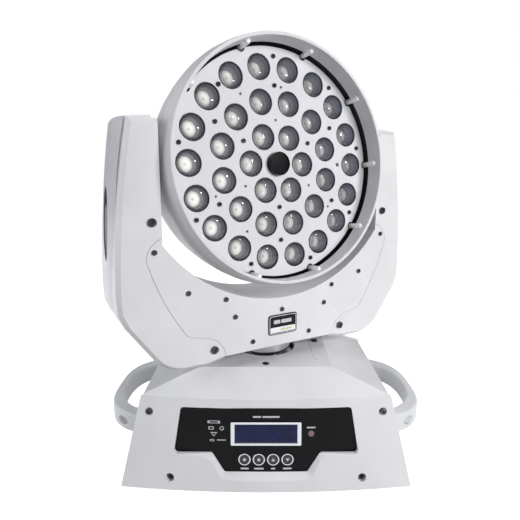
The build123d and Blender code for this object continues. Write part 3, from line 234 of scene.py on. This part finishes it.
def finish(name, colour, rough, metal=0.0, grain=(900.0, 0.12), blotch=(18.0, 0.04), stretch=(1.0, 1.0, 1.0),
           edge_wear_and_highlight=None, rough_spread=0.06, spec=0.5, coat=0.0, glow=0.0):
    """A Principled material with grain, blotches, uneven roughness and lighter convex edges, all in object space.

    grain is the scale and the bump strength of the fine noise, which stretch pulls out along an axis.
    blotch is the scale and the colour spread of the broad noise. edge_wear_and_highlight is the amount and the
    colour of the lighter edges: wear on dark finishes, a painted highlight on white ones.
    """
    grain_scale, grain_strength = grain
    blotch_scale, blotch_spread = blotch
    material = bpy.data.materials.new(name)
    material.use_nodes = True
    tree = material.node_tree
    tree.nodes.clear()
    out = tree.nodes.new("ShaderNodeOutputMaterial")
    shader = tree.nodes.new("ShaderNodeBsdfPrincipled")
    tree.links.new(shader.outputs[0], out.inputs["Surface"])
    shader.inputs["Metallic"].default_value = metal
    shader.inputs["Specular IOR Level"].default_value = spec
    shader.inputs["Coat Weight"].default_value = coat
    shader.inputs["Coat Roughness"].default_value = COAT_ROUGHNESS
    place = tree.nodes.new("ShaderNodeTexCoord")
    scaled = tree.nodes.new("ShaderNodeMapping")
    scaled.inputs["Scale"].default_value = stretch
    tree.links.new(place.outputs["Object"], scaled.inputs["Vector"])
    fine = noise(tree, scaled.outputs[0], grain_scale, FINE_DETAIL, FINE_ROUGHNESS)
    fine.name = "grain"
    broad = noise(tree, place.outputs["Object"], blotch_scale, BROAD_DETAIL, BROAD_ROUGHNESS)
    dark = tuple(max(0.0, c * (1.0 - blotch_spread)) for c in colour)
    light = tuple(min(1.0, c * (1.0 + blotch_spread)) for c in colour)
    shade = blend_colour(tree, ramp(tree, broad.outputs["Fac"], 0.0, 1.0), dark, light)
    # Lighter convex edges: wear on dark finishes, a painted highlight on white ones.
    if edge_wear_and_highlight:
        shade = wear_and_highlight_edges(tree, shade, *edge_wear_and_highlight)
    tree.links.new(shade, shader.inputs["Base Color"])
    tree.links.new(ramp(tree, broad.outputs["Fac"], rough - rough_spread, rough + rough_spread),
                   shader.inputs["Roughness"])
    bump = tree.nodes.new("ShaderNodeBump")
    bump.inputs["Strength"].default_value = grain_strength
    bump.inputs["Distance"].default_value = BUMP_DISTANCE
    tree.links.new(fine.outputs["Fac"], bump.inputs["Height"])
    tree.links.new(bump.outputs["Normal"], shader.inputs["Normal"])
    if glow:
        shader.inputs["Emission Color"].default_value = (*colour, 1.0)
        shader.inputs["Emission Strength"].default_value = glow
    return material


# The slots of the record come first, then what only the visual model has.
FINISHES = {
    # On the white finishes the lighter edges are a painted highlight; on the dark ones they are wear.
    "white_cover": dict(colour=(0.80, 0.80, 0.815), rough=0.34, grain=(1400.0, 0.10),
                        edge_wear_and_highlight=(0.25, (0.9, 0.9, 0.9))),
    "white_cap": dict(colour=(0.74, 0.74, 0.765), rough=0.30, grain=(1400.0, 0.08),
                      edge_wear_and_highlight=(0.2, (0.88, 0.88, 0.9))),
    "lens_plate": dict(colour=(0.78, 0.78, 0.805), rough=0.42, grain=(2200.0, 0.22), blotch=(30.0, 0.03)),
    "handle_plastic": dict(colour=(0.76, 0.77, 0.785), rough=0.48, grain=(1700.0, 0.25),
                           edge_wear_and_highlight=(0.3, (0.85, 0.85, 0.86))),
    "black_gloss": dict(colour=(0.006, 0.006, 0.008), rough=0.18, grain=(600.0, 0.03), blotch=(40.0, 0.3),
                        spec=0.12),
    "panel_film": dict(colour=(0.003, 0.003, 0.004), rough=0.30, grain=(2600.0, 0.04), blotch=(25.0, 0.25),
                       spec=0.10),
    "bright_trim": dict(colour=(0.47, 0.48, 0.51), rough=0.24, metal=1.0, grain=(1200.0, 0.12),
                        stretch=(1.0, 1.0, 9.0)),
    "display": dict(colour=(0.010, 0.012, 0.050), rough=0.2, grain=(300.0, 0.02), blotch=(55.0, 0.35),
                    spec=0.12, glow=0.28),
    "button_black": dict(colour=(0.016, 0.016, 0.018), rough=0.42, grain=(2000.0, 0.2), blotch=(60.0, 0.2),
                         edge_wear_and_highlight=(0.2, (0.10, 0.10, 0.10))),
    "sensor_red": dict(colour=(0.16, 0.075, 0.075), rough=0.18, grain=(600.0, 0.04), blotch=(200.0, 0.25),
                       coat=0.5),
    "screw_black": dict(colour=(0.035, 0.035, 0.04), rough=0.34, metal=0.6, grain=(1800.0, 0.2),
                        blotch=(300.0, 0.3), edge_wear_and_highlight=(0.4, (0.30, 0.30, 0.31))),
    "rubber_black": dict(colour=(0.022, 0.022, 0.024), rough=0.82, grain=(1100.0, 0.5), blotch=(60.0, 0.2)),
    "collar_chrome": dict(colour=(0.80, 0.81, 0.84), rough=0.10, metal=1.0, grain=(500.0, 0.05),
                          stretch=(1.0, 1.0, 14.0), rough_spread=0.04),
    "frame_steel": dict(colour=(0.50, 0.51, 0.53), rough=0.36, metal=1.0, grain=(700.0, 0.15),
                        stretch=(1.0, 7.0, 1.0)),
    "bearing_steel": dict(colour=(0.60, 0.61, 0.63), rough=0.22, metal=1.0, grain=(900.0, 0.08)),
    "alloy": dict(colour=(0.66, 0.67, 0.69), rough=0.33, metal=1.0, grain=(1100.0, 0.15),
                  stretch=(1.0, 1.0, 5.0)),
    "motor_black": dict(colour=(0.03, 0.03, 0.033), rough=0.45, grain=(1200.0, 0.2),
                        edge_wear_and_highlight=(0.3, (0.2, 0.2, 0.2))),
    "circuit": dict(colour=(0.42, 0.43, 0.40), rough=0.5, grain=(800.0, 0.1), blotch=(120.0, 0.12)),
    "fan_plastic": dict(colour=(0.020, 0.020, 0.022), rough=0.46, grain=(1500.0, 0.22), blotch=(50.0, 0.2),
                        edge_wear_and_highlight=(0.2, (0.08, 0.08, 0.08))),
    "lens_glass": dict(colour=(0.075, 0.078, 0.105), rough=0.06, grain=(200.0, 0.02), blotch=(90.0, 0.15),
                       rough_spread=0.03, spec=0.6, coat=0.4),
    # The cup's colour becomes painted shade towards its rim and a painted glow near its floor.
    "cup_grey": dict(colour=(0.34, 0.34, 0.37), rough=0.30, metal=0.9, grain=(900.0, 0.25),
                     blotch=(260.0, 0.3)),
    # Emitter and core glow with painted light.
    "emitter_warm": dict(colour=(0.97, 0.96, 0.93), rough=0.4, grain=(700.0, 0.1), blotch=(400.0, 0.06)),
    "emitter_core": dict(colour=(0.92, 0.82, 0.73), rough=0.4, grain=(700.0, 0.1), blotch=(700.0, 0.15),
                         glow=0.72),
    # Near-black sheets that paint the shade in the gap round the lens plate.
    "gap_shade_dark": dict(colour=(0.014, 0.014, 0.017), rough=0.6, grain=(900.0, 0.2), blotch=(60.0, 0.2),
                       spec=0.2),
    # The peg tips carry a faint painted glow.
    "peg_white": dict(colour=(0.93, 0.93, 0.95), rough=0.22, grain=(1500.0, 0.05), blotch=(200.0, 0.02),
                      glow=0.12),
    "print_pale": dict(colour=(0.62, 0.62, 0.64), rough=0.5, grain=(2000.0, 0.1), blotch=(300.0, 0.08)),
    "strip_silver": dict(colour=(0.55, 0.56, 0.58), rough=0.28, metal=0.8, grain=(900.0, 0.1),
                         stretch=(9.0, 9.0, 1.0)),
    "strip_yellow": dict(colour=(0.72, 0.66, 0.42), rough=0.4, grain=(1500.0, 0.1), blotch=(300.0, 0.08)),
}
materials = {name: finish(name, **values) for name, values in FINISHES.items()}

SLANT_BLEND = 0.5
FACED = 0.04
SLANTED = 0.34
GLOW_STARTS = 0.45
STREAK_SHARE = 0.35


def principled(material):
    return next(n for n in material.node_tree.nodes if n.type == "BSDF_PRINCIPLED")


def clear_when_faced(material, clear, veiled):
    """Glass that is clear straight on and veils what is behind it when seen at a slant."""
    tree = material.node_tree
    facing = tree.nodes.new("ShaderNodeLayerWeight")
    facing.inputs["Blend"].default_value = SLANT_BLEND
    veil = tree.nodes.new("ShaderNodeMapRange")
    veil.inputs["From Min"].default_value = FACED
    veil.inputs["From Max"].default_value = SLANTED
    veil.inputs["To Min"].default_value = clear
    veil.inputs["To Max"].default_value = veiled
    tree.links.new(facing.outputs["Facing"], veil.inputs["Value"])
    tree.links.new(veil.outputs["Result"], principled(material).inputs["Alpha"])


def paint_light_by_level(material, rim, floor, glow):
    """Painted shade from a dark rim colour to a lighter floor colour by the level stored on the mesh, streaks of
    the grain, and a painted glow where the level is high.
    """
    tree = material.node_tree
    shader = principled(material)
    level = tree.nodes.new("ShaderNodeAttribute")
    level.attribute_name = "depth"
    plain = shader.inputs["Base Color"].links[0].from_socket
    shade = blend_colour(tree, level.outputs["Fac"], rim, floor)
    streaks = ramp(tree, tree.nodes["grain"].outputs["Fac"], 0.0, STREAK_SHARE)
    tree.links.new(blend_colour(tree, streaks, shade, plain), shader.inputs["Base Color"])
    # The glow is painted light, not a lamp.
    near = tree.nodes.new("ShaderNodeMapRange")
    near.interpolation_type = "SMOOTHSTEP"
    near.inputs["From Min"].default_value = GLOW_STARTS
    tree.links.new(level.outputs["Fac"], near.inputs["Value"])
    tree.links.new(blend_colour(tree, near.outputs["Result"], (0.0, 0.0, 0.0), glow),
                   shader.inputs["Emission Color"])
    shader.inputs["Emission Strength"].default_value = 1.0


clear_when_faced(materials["lens_glass"], clear=0.08, veiled=0.80)
# Painted shade darkens each cup towards its rim and a painted glow lights its floor.
paint_light_by_level(materials["cup_grey"], rim=(0.012, 0.012, 0.016), floor=(0.30, 0.305, 0.33),
               glow=(0.42, 0.42, 0.43))
# Painted light makes each emitter bright in its middle and darker at its sides.
paint_light_by_level(materials["emitter_warm"], rim=(0.04, 0.04, 0.05), floor=(0.95, 0.94, 0.91),
               glow=(1.0, 0.985, 0.95))

# ---------------------------------------------------------------- mesh helpers

LATHE_STEPS = 32
CORNER_STEPS = 4
DISC_STEPS = 20


def new_piece(name, mesh, body, material):
    """A visual piece that rides a body, with material as what it looks like."""
    piece = bpy.data.objects.new(name, mesh)
    bpy.context.scene.collection.objects.link(piece)
    mesh.materials.append(materials[material])
    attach(piece, body)
    return piece


def joined(name, parts, smooth=True):
    """One mesh from (vertices, faces) parts."""
    verts, faces = [], []
    for part_verts, part_faces in parts:
        start = len(verts)
        verts += part_verts
        faces += [tuple(start + i for i in face) for face in part_faces]
    mesh = bpy.data.meshes.new(name)
    mesh.from_pydata([tuple(v) for v in verts], [], faces)
    made = bmesh.new()
    made.from_mesh(mesh)
    bmesh.ops.recalc_face_normals(made, faces=made.faces)
    made.to_mesh(mesh)
    made.free()
    for polygon in mesh.polygons:
        polygon.use_smooth = smooth
    return mesh


def lathe(profile, matrix, turns=LATHE_STEPS):
    """A closed body of revolution about the matrix's Z from (radius, height) points.

    A zero radius closes to a point, and a profile with both ends off the axis closes on itself.
    """
    verts, rows = [], []
    for radius, height in profile:
        if radius == 0.0:
            rows.append([len(verts)])
            verts.append(matrix @ Vector((0.0, 0.0, height)))
            continue
        rows.append(list(range(len(verts), len(verts) + turns)))
        for step in range(turns):
            angle = 2.0 * math.pi * step / turns
            verts.append(matrix @ Vector((radius * math.cos(angle), radius * math.sin(angle), height)))
    faces = []
    pairs = list(zip(rows, rows[1:]))
    if len(rows[0]) > 1 and len(rows[-1]) > 1:
        pairs.append((rows[-1], rows[0]))
    for low, high in pairs:
        both_points = len(low) + len(high) == 2
        for step in range(0 if both_points else turns):
            after = (step + 1) % turns
            if len(low) == 1:
                faces.append((low[0], high[step], high[after]))
            elif len(high) == 1:
                faces.append((low[step], high[0], low[after]))
            else:
                faces.append((low[step], low[after], high[after], high[step]))
    return verts, faces


def plate(outline, place, thick):
    """A thin closed plate over a 2-D outline; place(u, v, height) gives each point."""
    count = len(outline)
    verts = [place(u, v, 0.0) for u, v in outline] + [place(u, v, thick) for u, v in outline]
    faces = [tuple(range(count)), tuple(range(count, 2 * count))]
    faces += [(i, (i + 1) % count, count + (i + 1) % count, count + i) for i in range(count)]
    return verts, faces


def ring(outline, inner, place, thick):
    """A thin closed band between two outlines with the same number of points."""
    count = len(outline)
    verts = []
    for run, height in ((outline, 0.0), (outline, thick), (inner, thick), (inner, 0.0)):
        verts += [place(u, v, height) for u, v in run]
    faces = []
    for band in range(4):
        low, high = band * count, ((band + 1) % 4) * count
        faces += [(low + i, low + (i + 1) % count, high + (i + 1) % count, high + i) for i in range(count)]
    return verts, faces


def rounded(cx, cy, width, height, radius):
    """Outline of a rounded rectangle."""
    points = []
    for sx, sy, start in ((1, 1, 0), (-1, 1, 90), (-1, -1, 180), (1, -1, 270)):
        for step in range(CORNER_STEPS + 1):
            angle = math.radians(start + 90.0 * step / CORNER_STEPS)
            points.append((cx + sx * (width / 2 - radius) + radius * math.cos(angle),
                           cy + sy * (height / 2 - radius) + radius * math.sin(angle)))
    return points


def disc(cx, cy, radius):
    """Outline of a circle."""
    angles = [2 * math.pi * i / DISC_STEPS for i in range(DISC_STEPS)]
    return [(cx + radius * math.cos(angle), cy + radius * math.sin(angle)) for angle in angles]


# ---------------------------------------------------------------- CAD nodes

# Edge rounding by material, in millimetres.
SOFT_EDGE = {
    "white_cover": 0.7, "white_cap": 0.8, "handle_plastic": 1.2, "lens_plate": 0.25, "panel_film": 0.3,
    "bright_trim": 0.25, "black_gloss": 0.3, "frame_steel": 0.3, "alloy": 0.3, "motor_black": 0.5,
    "fan_plastic": 0.35, "button_black": 0.3, "rubber_black": 0.6, "screw_black": 0.25, "collar_chrome": 0.3,
    "bearing_steel": 0.3,
}
SOFT_EDGE_OF_OTHERS = 0.3
NO_SOFTENING = {"heat_sink", "lenses", "head_bezel"}
WELD_DISTANCE = 0.002
BEVEL_SEGMENTS = 2
BEVEL_FROM = 32.0
NORMALS_WEIGHT = 60


def soften(piece, width):
    """Weld the imported faces, round the edges a little and shade them by area."""
    weld = piece.modifiers.new("weld", "WELD")
    weld.merge_threshold = WELD_DISTANCE * MM
    bevel = piece.modifiers.new("edge", "BEVEL")
    bevel.width = width * MM
    bevel.segments = BEVEL_SEGMENTS
    bevel.limit_method = "ANGLE"
    bevel.angle_limit = math.radians(BEVEL_FROM)
    bevel.miter_outer = "MITER_ARC"
    normals = piece.modifiers.new("normals", "WEIGHTED_NORMAL")
    normals.weight = NORMALS_WEIGHT
    normals.keep_sharp = False


def dress_nodes():
    """Give every CAD node the look of its slot and soft edges."""
    slot_of = {entry["node"]: entry["material_slot"] for entry in frame["record"]["subparts"]}
    for name, piece in nodes.items():
        slot = slot_of[name]
        piece.data.materials.clear()
        piece.data.materials.append(materials[slot])
        for polygon in piece.data.polygons:
            polygon.use_smooth = True
            polygon.material_index = 0
        if name not in NO_SOFTENING:
            soften(piece, SOFT_EDGE.get(slot, SOFT_EDGE_OF_OTHERS))


# ---------------------------------------------------------------- lenses

LENS_RINGS = ((34.4, 6), (70.8, 12), (108.0, 18))
PLATE_FRONT = 28.2
LENS_R = 14.4
CUP_DEPTH = 17.2
CORE_STEPS = 16

# Profiles of (radius, height) in millimetres, with heights from the front of the lens plate.
CUP = [(LENS_R, -3.0), (LENS_R, 0.15), (LENS_R - 0.25, 0.45), (LENS_R - 0.6, 0.45), (LENS_R - 0.8, 0.1),
       (LENS_R - 0.9, -1.2), (LENS_R - 1.2, -3.5), (12.9, -6.0), (12.5, -9.0), (11.9, -12.0), (10.7, -15.0),
       (0.0, -CUP_DEPTH), (0.0, -18.9), (6.4, -18.9), (LENS_R, -9.0)]
DOME = [(0.0, 0.9), (3.5, 0.83), (7.0, 0.56), (10.0, 0.08), (12.2, -0.45), (LENS_R - 1.0, -0.8),
        (LENS_R - 1.3, -2.0), (9.0, -4.0), (5.0, -5.2), (0.0, -5.6)]
EMITTER = [(0.0, -12.0), (4.0, -12.1), (6.6, -12.5), (8.6, -13.2), (9.9, -14.3), (9.2, -15.4), (0.0, -16.4)]
# Level of painted light on the emitter at each profile point: full in the middle, lower at its sides.
EMITTER_LEVELS = (1.0, 1.0, 0.88, 0.72, 0.5, 0.5, 0.5)
CORE = [(0.0, -11.6), (1.3, -11.7), (1.9, -12.1), (1.8, -12.5), (0.0, -12.6)]


def lens_frames():
    """Matrix at the centre of every lens, on the front of the lens plate."""
    for radius, count in LENS_RINGS:
        for index in range(count):
            angle = math.radians(90.0 + 180.0 / count - 360.0 / count * index)
            at = Vector((radius * math.cos(angle), radius * math.sin(angle), PLATE_FRONT)) * MM
            yield HEAD @ Matrix.Translation(at) @ Matrix.Diagonal((MM, MM, MM, 1.0))


def lens_piece(name, profile, material, turns=LATHE_STEPS):
    """The same turned part in every lens, as one piece."""
    mesh = joined(name, [lathe(profile, at_lens, turns) for at_lens in lens_frames()])
    return new_piece(name, mesh, "lens_carrier", material)


def store_levels(piece, profile, levels):
    """Store one level per profile point on every lens, which sets how much painted shade and painted glow it gets.
    """
    turned = []
    for (radius, _), level in zip(profile, levels):
        turned += [level] * (LATHE_STEPS if radius else 1)
    layer = piece.data.attributes.new("depth", "FLOAT", "POINT")
    layer.data.foreach_set("value", turned * (len(piece.data.vertices) // len(turned)))


def make_lenses():
    """Each lens is a cup with painted shade at its rim and a painted glow at its floor, a clear dome over it, and
    an emitter with a warmer core, both glowing with painted light.
    """
    cups = lens_piece("lens_cups", CUP, "cup_grey")
    lens_piece("lens_domes", DOME, "lens_glass")
    emitters = lens_piece("lens_emitters", EMITTER, "emitter_warm")
    lens_piece("lens_emitter_cores", CORE, "emitter_core", CORE_STEPS)
    store_levels(cups, CUP, [min(1.0, max(0.0, -height / CUP_DEPTH)) for _, height in CUP])
    store_levels(emitters, EMITTER, EMITTER_LEVELS)
    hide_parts("lenses")


# ---------------------------------------------------------------- rim of the head

GAP_SHADE_R = 136.6
GAP_SHADE_WALL = 0.4
GAP_SHADE_TOP = 33.8
GAP_SHADE_FLOOR_LOW = 19.4
GAP_SHADE_FLOOR_HIGH = 20.2
GAP_SHADE_STEPS = 128
PEG_COUNT = 10
PEG_CIRCLE_R = 131.4
PEG_R = 3.3
PEG_TIP = [(0.0, 47.5), (1.5, 47.3), (2.7, 46.6), (PEG_R, 45.2), (PEG_R, 35.0), (0.0, 35.0)]
PEG_STEPS = 20
EDGING_R = 130.05
EDGING_GROWTH = 1.007
EDGING_START = 2.6
EDGING_HEIGHT = 2.7
EDGING_STEPS = 16
GAP_SHADE_FLOOR_R = EDGING_R + 0.5
PEG_SHARE = 0.075
IN_HEAD = HEAD @ Matrix.Diagonal((MM, MM, MM, 1.0))


def make_gap_shade_lining():
    """Dark sheet inside the housing, with a floor below the gap round the lens plate: painted shade deep in the
    gap.
    """
    inner = GAP_SHADE_R - GAP_SHADE_WALL
    profile = [(GAP_SHADE_R, GAP_SHADE_TOP), (GAP_SHADE_R, GAP_SHADE_FLOOR_LOW), (GAP_SHADE_FLOOR_R, GAP_SHADE_FLOOR_LOW),
               (GAP_SHADE_FLOOR_R, GAP_SHADE_FLOOR_HIGH), (inner, GAP_SHADE_FLOOR_HIGH), (inner, GAP_SHADE_TOP)]
    mesh = joined("housing_gap_shade", [lathe(profile, IN_HEAD, GAP_SHADE_STEPS)])
    new_piece("housing_gap_shade", mesh, "head", "gap_shade_dark")


def make_peg_tips():
    """Rounded tips on the guide pegs of the rim, with a faint painted glow that makes them brighter than the wall.
    """
    tips = []
    for index in range(PEG_COUNT):
        angle = 2.0 * math.pi * index / PEG_COUNT
        at = Vector((PEG_CIRCLE_R * math.cos(angle), PEG_CIRCLE_R * math.sin(angle), 0.0))
        tips.append(lathe(PEG_TIP, IN_HEAD @ Matrix.Translation(at), PEG_STEPS))
    new_piece("peg_tips", joined("peg_tips", tips), "head", "peg_white")


def make_gap_shade_edging():
    """Dark strip round the edge of the lens plate, open where the guide pegs pass: painted shade in the gap."""
    def place(u, v, height):
        return HEAD @ Vector((u * MM, v * MM, (PLATE_FRONT - EDGING_START) * MM + height))

    span = 1.0 - 2.0 * PEG_SHARE
    strips = []
    for index in range(PEG_COUNT):
        shares = [index + PEG_SHARE + span * step / EDGING_STEPS for step in range(EDGING_STEPS + 1)]
        angles = [2.0 * math.pi * share / PEG_COUNT for share in shares]
        inner = [(EDGING_R * math.cos(angle), EDGING_R * math.sin(angle)) for angle in angles]
        outer = [(u * EDGING_GROWTH, v * EDGING_GROWTH) for u, v in reversed(inner)]
        strips.append(plate(inner + outer, place, EDGING_HEIGHT * MM))
    mesh = joined("plate_gap_shade", strips, smooth=False)
    new_piece("plate_gap_shade", mesh, "lens_carrier", "gap_shade_dark")


# ---------------------------------------------------------------- printed marks

PRINT = 0.15 * MM
PRINT_SUNK = 0.02 * MM
IN_FRONT = -0.3
BAR_STEP = 4.0


def surface_of(name):
    """Ray-cast tree over a CAD node."""
    mesh = nodes[name].data
    return BVHTree.FromPolygons([v.co for v in mesh.vertices], [tuple(p.vertices) for p in mesh.polygons])


def on_front(tree, sunk=0.0):
    """Place marks on a node seen from the front: u is X and v is Z, both in millimetres."""
    def place(u, v, height):
        hit = tree.ray_cast(Vector((u * MM, IN_FRONT, v * MM)), Vector((0.0, 1.0, 0.0)))[0]
        return hit + Vector((0.0, sunk - height, 0.0))
    return place


def bar(cx, cz, width, height):
    """Outline of a bar, with points close enough to follow the curve of the panel."""
    count = max(2, int(width / BAR_STEP))
    low = [(cx - width / 2 + width * i / count, cz - height / 2) for i in range(count + 1)]
    high = [(u, cz + height / 2) for u, _ in reversed(low)]
    return low + high


def printed(name, parts, body, material):
    """A piece of flat marks."""
    new_piece(name, joined(name, parts, smooth=False), body, material)


# ---------------------------------------------------------------- control panel marks, in millimetres

HEADING_UP = 5.6
HEADING_HEIGHT = 1.9
HEADING_BARS = ((-10.0, 9.0), (5.5, 19.0))
SENSOR_LABEL_UP = 3.4
SENSOR_LABEL = (9.5, 1.5)
BUTTON_LABEL_DOWN = 3.6
BUTTON_LABEL_HEIGHT = 1.8
BUTTON_LABEL_WIDTHS = (9.0, 10.5, 4.5, 9.5)
ICONS_LEFT = 19.0
ICONS_DOWN = 1.0
ICON_PITCH = 7.0
ICON_CORNER = 0.8
ICON_HOLE = (0.68, 0.6)
# Shift, width and height of each icon from the top down.
ICONS = ((0.0, 14.0, 3.0), (-3.0, 6.0, 3.6), (0.0, 8.0, 4.6), (-2.0, 5.0, 2.2))
TRIANGLE_ROW = 2
CIRCLE_AT = (9.0, -8.0)
CIRCLE_R = 2.4
CIRCLE_HOLE_R = 1.6
DASH_AT = (8.5, -21.5)
DASH = (10.0, 0.9)


def label_outlines():
    """Bars over the display, over the sensor and under each button."""
    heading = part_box("lcd_bezel")[1].z / MM + HEADING_UP
    for x, width in HEADING_BARS:
        yield bar(x, heading, width, HEADING_HEIGHT)
    low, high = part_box("sensor_window")
    yield bar((low.x + high.x) / 2 / MM, high.z / MM + SENSOR_LABEL_UP, *SENSOR_LABEL)
    low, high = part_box("button_rings")
    ring_width = (high.z - low.z) / MM
    pitch = ((high.x - low.x) / MM - ring_width) / (len(BUTTON_LABEL_WIDTHS) - 1)
    for index, width in enumerate(BUTTON_LABEL_WIDTHS):
        x = low.x / MM + ring_width / 2 + pitch * index
        yield bar(x, low.z / MM - BUTTON_LABEL_DOWN, width, BUTTON_LABEL_HEIGHT)


def icon_outlines(column, top):
    """Outer and inner outline of the icons left of the display, from the top down."""
    for row, (shift, width, height) in enumerate(ICONS):
        x = column + shift
        z = top - ICONS_DOWN - ICON_PITCH * row
        outline = rounded(x, z, width, height, ICON_CORNER)
        if row == TRIANGLE_ROW:
            outline = [(x - width / 2, z + height / 2), (x + width / 2, z + height / 2), (x, z - height / 2)]
        yield outline, [(x + (u - x) * ICON_HOLE[0], z + (v - z) * ICON_HOLE[1]) for u, v in outline]
    at = (column + CIRCLE_AT[0], top + CIRCLE_AT[1])
    yield disc(*at, CIRCLE_R), disc(*at, CIRCLE_HOLE_R)


def make_panel_marks():
    """Generic bars and outlines where the panel carries words and signs."""
    place = on_front(surface_of("control_panel"))
    low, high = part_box("lcd_bezel")
    column, top = low.x / MM - ICONS_LEFT, high.z / MM
    parts = [plate(outline, place, PRINT) for outline in label_outlines()]
    parts += [ring(outer, inner, place, PRINT) for outer, inner in icon_outlines(column, top)]
    parts.append(plate(bar(column + DASH_AT[0], top + DASH_AT[1], *DASH), place, PRINT))
    printed("panel_marks", parts, "base", "print_pale")


BUTTON_SIGNS = {"menu_button": "dot", "enter_button": "dot", "up_button": "up", "down_button": "down"}
DOT_R = 1.7
ARROW_HALF = (2.1, 1.9)
ARROW_POINTS = ((-1.0, -0.8), (1.0, -0.8), (0.0, 1.0))


def make_button_marks():
    """A dot or an arrow on each button, which rides it."""
    for name, sign in BUTTON_SIGNS.items():
        low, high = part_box(name)
        x, z = (low.x + high.x) / 2 / MM, (low.z + high.z) / 2 / MM
        outline = disc(x, z, DOT_R)
        if sign != "dot":
            up = 1.0 if sign == "up" else -1.0
            outline = [(x + ARROW_HALF[0] * u, z + up * ARROW_HALF[1] * v) for u, v in ARROW_POINTS]
        place = on_front(surface_of(name), sunk=PRINT_SUNK)
        printed(name + "_mark", [plate(outline, place, PRINT)], name, "print_pale")


# ---------------------------------------------------------------- badge

BADGE_AT = (1.0, 167.0)
BADGE_FRONT = 42.0
# Each box is its shift from the badge's centre, its width and height and its corner radius.
BADGE_LINE_OUTER = (0.0, 0.0, 37.4, 22.4, 2.8)
BADGE_LINE_INNER = (0.0, 0.0, 36.2, 21.2, 2.4)
BADGE_STRIP = (0.0, -6.4, 35.0, 6.6, 1.2)
BADGE_BARS = ((-8.5, 3.6, 9.0, 4.6, 0.8), (4.8, 3.6, 14.5, 4.6, 0.8))
BADGE_ACCENT = (5.0, -6.4, 17.0, 2.6, 0.6)


def badge_box(across, up, width, height, corner):
    return rounded(BADGE_AT[0] + across, BADGE_AT[1] + up, width, height, corner)


def on_badge(u, v, height):
    return YOKE @ Vector((u * MM, -BADGE_FRONT * MM - height, v * MM))


def on_strip(u, v, height):
    return on_badge(u, v, height + PRINT)


def make_badge():
    """A framed plate with two plain bars, a silver strip and a yellow accent."""
    line = ring(badge_box(*BADGE_LINE_OUTER), badge_box(*BADGE_LINE_INNER), on_badge, PRINT)
    strip = plate(badge_box(*BADGE_STRIP), on_badge, PRINT)
    printed("badge_strip", [line, strip], "yoke", "strip_silver")
    bars = [plate(badge_box(*box), on_badge, PRINT) for box in BADGE_BARS]
    printed("badge_marks", bars, "yoke", "print_pale")
    printed("badge_accent", [plate(badge_box(*BADGE_ACCENT), on_strip, PRINT)], "yoke", "strip_yellow")


make_camera()
make_world()
make_floor()
make_lamps()
dress_nodes()
make_lenses()
make_gap_shade_lining()
make_peg_tips()
make_gap_shade_edging()
make_panel_marks()
make_button_marks()
make_badge()
bpy.context.scene.view_settings.view_transform = "Standard"
